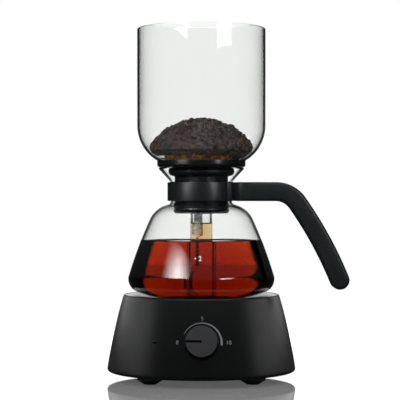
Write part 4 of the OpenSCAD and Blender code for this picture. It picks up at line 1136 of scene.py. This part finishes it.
def make_loose_grains():
    """Single grains on the heap, and some that fell between the cloth and the glass."""
    draw = random.Random(7)
    seed_grain = begin("grain", bpy.ops.mesh.primitive_ico_sphere_add, subdivisions=1, radius=MM)
    spots = []
    for _ in range(GRAINS_ON_HEAP):
        r = (MOUND_R - 0.3) * math.sqrt(draw.random())
        size = 0.5 + 1.2 * draw.random() ** 3
        spots.append((r, draw.uniform(0, 360), heap_height(r) + size * draw.uniform(-0.4, 0.8), size))
    shelf = CLOTH_Z + CLOTH_H
    # they lie deepest on one side of the cloth
    deepest = -25
    for i in range(GRAINS_AT_FOOT):
        turn = draw.gauss(deepest, 38) if i % 2 else draw.uniform(0, 360)
        z = shelf - draw.uniform(0.2, 1.0 + 4.5 * math.exp(-((turn - deepest) / 32) ** 2))
        reach = DOME_C[0] + math.sqrt((DOME_R - GLASS - 0.9) ** 2 - (z - DOME_C[1]) ** 2)
        spots.append((draw.uniform(max(CLOTH_R + 0.8, reach - 6), reach), turn, z, draw.uniform(0.45, 0.95)))
    grains = []
    for i, (r, turn, z, size) in enumerate(spots):
        a = math.radians(turn)
        shape = Matrix.Diagonal((size, size * draw.uniform(0.6, 1.0), size * draw.uniform(0.5, 0.9), 1.0))
        turned_about = Matrix.Rotation(draw.uniform(0, 6.28), 4, Vector((draw.random(), draw.random(), 1)))
        spot = Matrix.Translation(Vector((r * math.cos(a), r * math.sin(a), z)) * MM)
        grains.append(copy_at(seed_grain, f"grain_{i}", spot @ turned_about @ shape))
    bpy.data.objects.remove(seed_grain)
    loose = join(*grains)
    loose.name = "loose_grains"
    dress(loose, "chamber", "ground_coffee", GROUNDS)


def make_cloth():
    """Flannel bag drawn over the filter plate: puckered round its edge, with deeper folds in places."""
    r, skin = CLOTH_H / 2, 0.6
    bag = turned("flannel_cover", [(2.5 * i, CLOTH_Z) for i in range(10)]
                 + arc((CLOTH_R - r, CLOTH_Z + r), r, -90, 90, 18)
                 + [(2.5 * i, CLOTH_Z + CLOTH_H) for i in range(9, -1, -1)], steps=240)
    puckers = 34
    # the middle of each deep fold in degrees, its width in degrees and its depth
    folds = ((-65.5, 2.5, 1.6), (-133.5, 2.5, 1.3), (-97, 1.6, 0.5),
             (25, 2.5, 1.2), (80, 2.5, 1.4), (150, 2.2, 1.2))
    for vertex in bag.data.vertices:
        x, y = vertex.co.x / MM, vertex.co.y / MM
        reach = math.hypot(x, y)
        if reach < CLOTH_R - 9:
            continue
        turn = math.degrees(math.atan2(y, x))
        edge = min((reach - CLOTH_R + 9) / 6, 1.0)
        depth = 0.28 * (1 + math.sin(math.radians(puckers * turn) + 1.5 * noise.noise(vertex.co / MM / 6)))
        depth += 0.3 * (1 + noise.noise(vertex.co / MM / 2.5))
        for middle, width, fold in folds:
            depth += fold * math.exp(-((turn - middle) / width) ** 2)
        share = 1 - edge * depth / reach
        vertex.co.x *= share
        vertex.co.y *= share
    apply_modifier(bag, "SOLIDIFY", thickness=skin * MM, offset=-1)
    only(bag)
    bpy.ops.object.shade_smooth()
    dress(bag, "chamber", "filter_fabric", CLOTH, "filter_cloth")


def make_spring():
    """Close-wound spring: a ring of wire is drawn along its turns, and both ends are led to the middle."""
    top, end = SPRING_TOP - 2, SPRING_END + 2
    turns = round((top - end) / SPRING_PITCH)
    coil = begin("close_wound_spring", bpy.ops.mesh.primitive_circle_add, vertices=8,
                 radius=SPRING_WIRE_R * MM, fill_type="NGON", rotation=(math.radians(90), 0, 0),
                 location=(SPRING_R * MM, 0, end * MM))
    bpy.ops.object.transform_apply()
    bpy.ops.object.mode_set(mode="EDIT")
    bpy.ops.mesh.select_all(action="SELECT")
    bpy.ops.mesh.delete(type="ONLY_FACE")
    bpy.ops.object.mode_set(mode="OBJECT")
    apply_modifier(coil, "SCREW", axis="Z", angle=2 * math.pi, screw_offset=(top - end) / turns * MM,
                   iterations=turns, steps=16, render_steps=16, use_smooth_shade=True)
    bpy.ops.object.mode_set(mode="EDIT")
    bpy.ops.mesh.select_all(action="DESELECT")
    bpy.ops.mesh.select_non_manifold()
    bpy.ops.mesh.edge_face_add()
    close_up(50)
    place(coil, Matrix.Translation((CHAIN_X * MM, 0, 0)))
    side = CHAIN_X + SPRING_R
    upper_path = [(side, 0, top), (0.3, 0, SPRING_TOP - 1.2), (0, 0, SPRING_TOP), (0, 0, SPRING_TOP + 1.8)]
    lower_path = [(side, 0, end), (CHAIN_X + 1.6, 0.6, SPRING_END + 1), (CHAIN_X, 0, SPRING_END + 0.4),
                  (CHAIN_X, 0, SPRING_END)]
    upper = wire("spring_upper_end", upper_path, SPRING_WIRE_R)
    lower = wire("spring_lower_end", lower_path, SPRING_WIRE_R)
    dress(join(coil, upper, lower), "chamber", "spring_steel", WIRE, "filter_spring")


def make_chain():
    half = BEAD_PITCH / 2
    mouth = (0.5, 1.09)
    turn = angle_of(*mouth)
    bead = turned("bead", [(0, -half), (0.35, -half), (0.35, -mouth[1] - 0.06), (mouth[0], -mouth[1] - 0.04)]
                  + arc((0, 0), BEAD_R, -turn, turn, 12)
                  + [(mouth[0], mouth[1] + 0.04), (0.35, mouth[1] + 0.06), (0.35, half), (0, half)], steps=24)
    top = SPRING_END - 0.4 - BEAD_R
    links = []
    for i in range(BEADS):
        move = Matrix.Translation((CHAIN_X * MM, 0, (top - BEAD_PITCH * i) * MM))
        links.append(copy_at(bead, f"bead_{i + 1}", move))
    bpy.data.objects.remove(bead)
    chain = join(*links)
    chain.name = "ball_chain"
    dress(chain, "hook", "spring_steel", NICKEL, "bead_chain")


def make_hook():
    top = SPRING_END - 0.8 - BEADS * BEAD_PITCH
    inner_x = HOOK_C[0] + HOOK_BEND_R
    path = ([(HOOK_C[0] - HOOK_BEND_R, 0, HOOK_C[1] + HOOK_TIP)]
            + [(x, 0, z) for x, z in arc(HOOK_C, HOOK_BEND_R, 180, 360, 6)]
            + [(inner_x, 0, HOOK_C[1] + 3.5), (inner_x + 0.9, 0, HOOK_C[1] + 6),
               (CHAIN_X - 0.5, 0, top - 1.5), (CHAIN_X, 0, top)])
    dress(wire("wire_hook", path, HOOK_WIRE_R), "hook", "spring_steel", NICKEL, "chain_hook")


# ---------------------------------------------------------------- stage

def make_floor():
    """A pale glossy board, white where it is seen directly or through glass. At flat angles it mirrors what
    stands on it, less so further out, where it fades into the white behind. Reflections see it dark."""
    floor = begin("floor", bpy.ops.mesh.primitive_circle_add, vertices=96, radius=3.0, fill_type="NGON")
    made, tree, shader, coords = finish("pale_gloss_board", "#e8e8e8", 0.9)
    path = add_node(tree, "LightPath")
    unmirrored = add_node(tree, "Math", {"operation": "LESS_THAN"}, {0: (path, "Glossy Depth"), 1: 0.5})
    through = add_node(tree, "Math", {"operation": "MULTIPLY"},
                       {0: (path, "Is Transmission Ray"), 1: (unmirrored, "Value")})
    direct = add_node(tree, "Math", {"operation": "MAXIMUM"},
                      {0: (path, "Is Camera Ray"), 1: (through, "Value")})
    away = add_node(tree, "VectorMath", {"operation": "LENGTH"}, {0: (coords, "Object")})
    near = add_node(tree, "MapRange", SMOOTHLY,
                    {"Value": (away, "Value"), "From Min": 0.16, "From Max": 0.3,
                     "To Min": 1.0, "To Max": 0.0})
    edge = add_node(tree, "LayerWeight", {}, {"Blend": 0.5})
    grazing = add_node(tree, "MapRange", SMOOTHLY,
                       {"Value": (edge, "Facing"), "From Min": 0.6, "From Max": 0.9, "To Max": 0.92})
    gloss = add_node(tree, "Math", {"operation": "MULTIPLY"}, {0: (near, "Result"), 1: (grazing, "Result")})
    white = add_node(tree, "Emission", {}, {"Strength": 1.0})
    lit = add_node(tree, "AddShader", {}, {0: (white, "Emission"), 1: (shader, "BSDF")})
    mirror = add_node(tree, "BsdfAnisotropic", {}, {"Color": srgb("#ffffff"), "Roughness": 0.03})
    sheet = add_node(tree, "MixShader", {}, {0: (gloss, "Value"), 1: (lit, "Shader"), 2: (mirror, "BSDF")})
    fade = add_node(tree, "MapRange", SMOOTHLY,
                    {"Value": (away, "Value"), "From Min": 0.35, "From Max": 0.7})
    seen = add_node(tree, "MixShader", {},
                    {0: (fade, "Result"), 1: (sheet, "Shader"), 2: (white, "Emission")})
    dim = add_node(tree, "Emission", {}, {"Strength": 0.02})
    mirrored = add_node(tree, "Math", {"operation": "GREATER_THAN"}, {0: (path, "Glossy Depth"), 1: 0.5})
    around = add_node(tree, "MixShader", {},
                      {0: (mirrored, "Value"), 1: (shader, "BSDF"), 2: (dim, "Emission")})
    both = add_node(tree, "MixShader", {},
                    {0: (direct, "Value"), 1: (around, "Shader"), 2: (seen, "Shader")})
    tree.links.new(both.outputs[0], tree.nodes["Material Output"].inputs["Surface"])
    floor.data.materials.append(made)
    floor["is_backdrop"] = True


def softbox(name, azimuth, elevation, width, height, brightness, peak=None):
    """A soft lamp that faces the piece. Azimuth is counted from the camera's side, to the right. peak is
    how far along its width it is brightest, and up to what share of its height it stays so."""
    a, e = math.radians(azimuth), math.radians(elevation)
    target = Vector((0, 0, LAMPS_AIM_AT))
    towards = Vector((math.sin(a) * math.cos(e), -math.cos(a) * math.cos(e), math.sin(e)))
    spot = target + LAMPS_AWAY * towards
    lamp = bpy.data.lights.new(name, "AREA")
    lamp.shape = "RECTANGLE"
    lamp.size, lamp.size_y = width, height
    lamp.energy = math.pi * width * height * brightness
    if peak:
        lamp.use_nodes = True
        tree = lamp.node_tree
        geometry = add_node(tree, "NewGeometry")
        parts = add_node(tree, "SeparateXYZ", {}, {"Vector": (geometry, "Parametric")})
        rise = add_node(tree, "MapRange", {}, {"Value": (parts, "X"), "From Max": peak[0]})
        left = add_node(tree, "Math", {"operation": "POWER"}, {0: (rise, "Result"), 1: 1.5})
        right = add_node(tree, "MapRange", {},
                         {"Value": (parts, "X"), "From Min": peak[0], "To Min": 1.0, "To Max": 0.0})
        up = add_node(tree, "MapRange", {},
                      {"Value": (parts, "Y"), "From Min": peak[1], "To Min": 1.0, "To Max": 0.02})
        across = add_node(tree, "Math", {"operation": "MULTIPLY"},
                          {0: (left, "Value"), 1: (right, "Result")})
        level = add_node(tree, "Math", {"operation": "MULTIPLY"}, {0: (across, "Value"), 1: (up, "Result")})
        tree.links.new(level.outputs[0], tree.nodes["Emission"].inputs["Strength"])
    holder = bpy.data.objects.new(name, lamp)
    bpy.context.collection.objects.link(holder)
    holder.location = spot
    holder.rotation_euler = (target - spot).to_track_quat("-Z", "Y").to_euler()
    return holder


def flag(lamp, state, pieces):
    """Flags round a lamp, as studios use them: it lights only some pieces, or all but some."""
    group = bpy.data.collections.new(lamp.name + "_flags")
    for piece in pieces:
        group.objects.link(piece)
    lamp.light_linking.receiver_collection = group
    for link in group.collection_objects:
        link.light_linking.link_state = state


def make_world():
    """White where it is seen directly or through glass, dark in reflections but for a low screen behind,
    and even soft light on what is matt."""
    world = bpy.data.worlds.new("studio")
    bpy.context.scene.world = world
    world.use_nodes = True
    world.cycles.sampling_method = "NONE"
    tree = world.node_tree
    sky = tree.nodes["Background"]
    path = add_node(tree, "LightPath")
    coords = add_node(tree, "TexCoord")
    parts = add_node(tree, "SeparateXYZ", {}, {"Vector": (coords, "Generated")})
    back = add_node(tree, "MapRange", SMOOTHLY, {"Value": (parts, "Y"), "From Min": 0.965, "From Max": 0.98})
    back_top = add_node(tree, "MapRange", SMOOTHLY,
                        {"Value": (parts, "Z"), "From Min": 0.2, "From Max": 0.28,
                         "To Min": 1.0, "To Max": 0.0})
    behind = add_node(tree, "Math", {"operation": "MULTIPLY"}, {0: (back, "Result"), 1: (back_top, "Result")})
    room = add_node(tree, "MapRange", SMOOTHLY, {"Value": (parts, "Z"), "To Min": 0.02, "To Max": 0.35})
    mirrored = add_node(tree, "Math", {"operation": "MAXIMUM"}, {0: (behind, "Value"), 1: (room, "Result")})
    indirect = add_node(tree, "Mix", {"data_type": "FLOAT"},
                        {"Factor": (path, "Is Diffuse Ray"), "A": (mirrored, "Value"), "B": 0.6})
    unmirrored = add_node(tree, "Math", {"operation": "LESS_THAN"}, {0: (path, "Glossy Depth"), 1: 0.5})
    through = add_node(tree, "Math", {"operation": "MULTIPLY"},
                       {0: (path, "Is Transmission Ray"), 1: (unmirrored, "Value")})
    direct = add_node(tree, "Math", {"operation": "MAXIMUM"},
                      {0: (path, "Is Camera Ray"), 1: (through, "Value")})
    strength = add_node(tree, "Mix", {"data_type": "FLOAT"},
                        {"Factor": (direct, "Value"), "A": (indirect, "Result"), "B": 1.0})
    tree.links.new(strength.outputs["Result"], sky.inputs["Strength"])
    sky.inputs["Color"].default_value = srgb("#ffffff")


def make_lamps():
    """The key and the small lamp light the glass and the handle, the top one all, and the others give the
    base, its plates and the neck their own soft gleams."""
    key = softbox("key_softbox", azimuth=-44, elevation=29.5, width=1.02, height=0.29, brightness=25,
                  peak=(0.58, 0.385))
    small = softbox("small_softbox", azimuth=41, elevation=21.5, width=0.6, height=0.12, brightness=30,
                    peak=(0.25, 0.6))
    softbox("top_softbox", azimuth=0, elevation=85, width=1.0, height=1.0, brightness=1)
    neck_pieces = [bpy.data.objects[name] for name in ("rubber_seal", "collar_ring")]
    plate_pieces = [bpy.data.objects[name] for name in ("top_plate_pressing", "heating_plate")]
    base_pieces = [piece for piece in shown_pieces() if {"base", "knob"} & set(body_of(piece) or ())]
    for lamp in (key, small):
        flag(lamp, "EXCLUDE", base_pieces)
    for azimuth in (-110, 110):
        side = softbox(f"side_softbox_{azimuth}", azimuth, elevation=14, width=2.0, height=0.5,
                       brightness=1.1)
        flag(side, "INCLUDE", base_pieces)
    for azimuth in (0, 180):
        above = softbox(f"plate_softbox_{azimuth}", azimuth, elevation=32, width=2.4, height=0.8,
                        brightness=0.9)
        flag(above, "INCLUDE", plate_pieces)
    for azimuth, width, brightness in ((-50, 0.5, 6), (44, 0.2, 9)):
        low_down = softbox(f"low_softbox_{azimuth}", azimuth, elevation=8, width=width, height=0.25,
                           brightness=brightness)
        flag(low_down, "INCLUDE", neck_pieces)


def make_camera():
    data = bpy.data.cameras.new("camera")
    data.lens, data.sensor_width = CAMERA_LENS, CAMERA_SENSOR
    camera = bpy.data.objects.new("camera", data)
    bpy.context.collection.objects.link(camera)
    camera.location = CAMERA_PLACE
    camera.rotation_euler = (math.radians(90), 0, 0)
    bpy.context.scene.camera = camera


make_camera()
make_world()
make_floor()
housing = make_housing()
make_top_plate()
make_hot_plate()
make_feet()
make_knob()
make_dial_print(housing)
make_lamp_window()
make_gland()
flask = make_flask()
make_level_mark(flask)
make_coffee()
make_stem_coffee()
make_band()
make_handle()
make_bowl()
make_seal()
make_grounds()
make_loose_grains()
make_cloth()
make_spring()
make_chain()
make_hook()
refinish(SHEATH, "heating_element")
refinish(ZINC, "heater_cradle", "cradle_screws", "board_screws", "control_washer")
refinish(PHENOLIC, "thermostat")
refinish(LAMINATE, "control_board")
refinish(EPOXY_CASES, "board_components")
refinish(ALUMINIUM, "heat_sink")
refinish(NYLON, "terminal_block")
refinish(RED_SLEEVE, "heater_leads")
refinish(GREY_SLEEVE, "mains_leads")
refinish(NICKEL, "rotary_control", "control_nut", "control_shaft", "cover_screws", "clamp_screw")
refinish(DIODE, "indicator_led")
refinish(COVER, "bottom_cover")
refinish(LINER, "collar_liner")
refinish(ROLLED_STEEL, "filter_disc")
make_lamps()

scene = bpy.context.scene
scene.view_settings.view_transform = "Standard"
# glass inside glass: a ray crosses many walls before it is out again
scene.cycles.max_bounces = 32
scene.cycles.transmission_bounces = 24
scene.cycles.transparent_max_bounces = 24
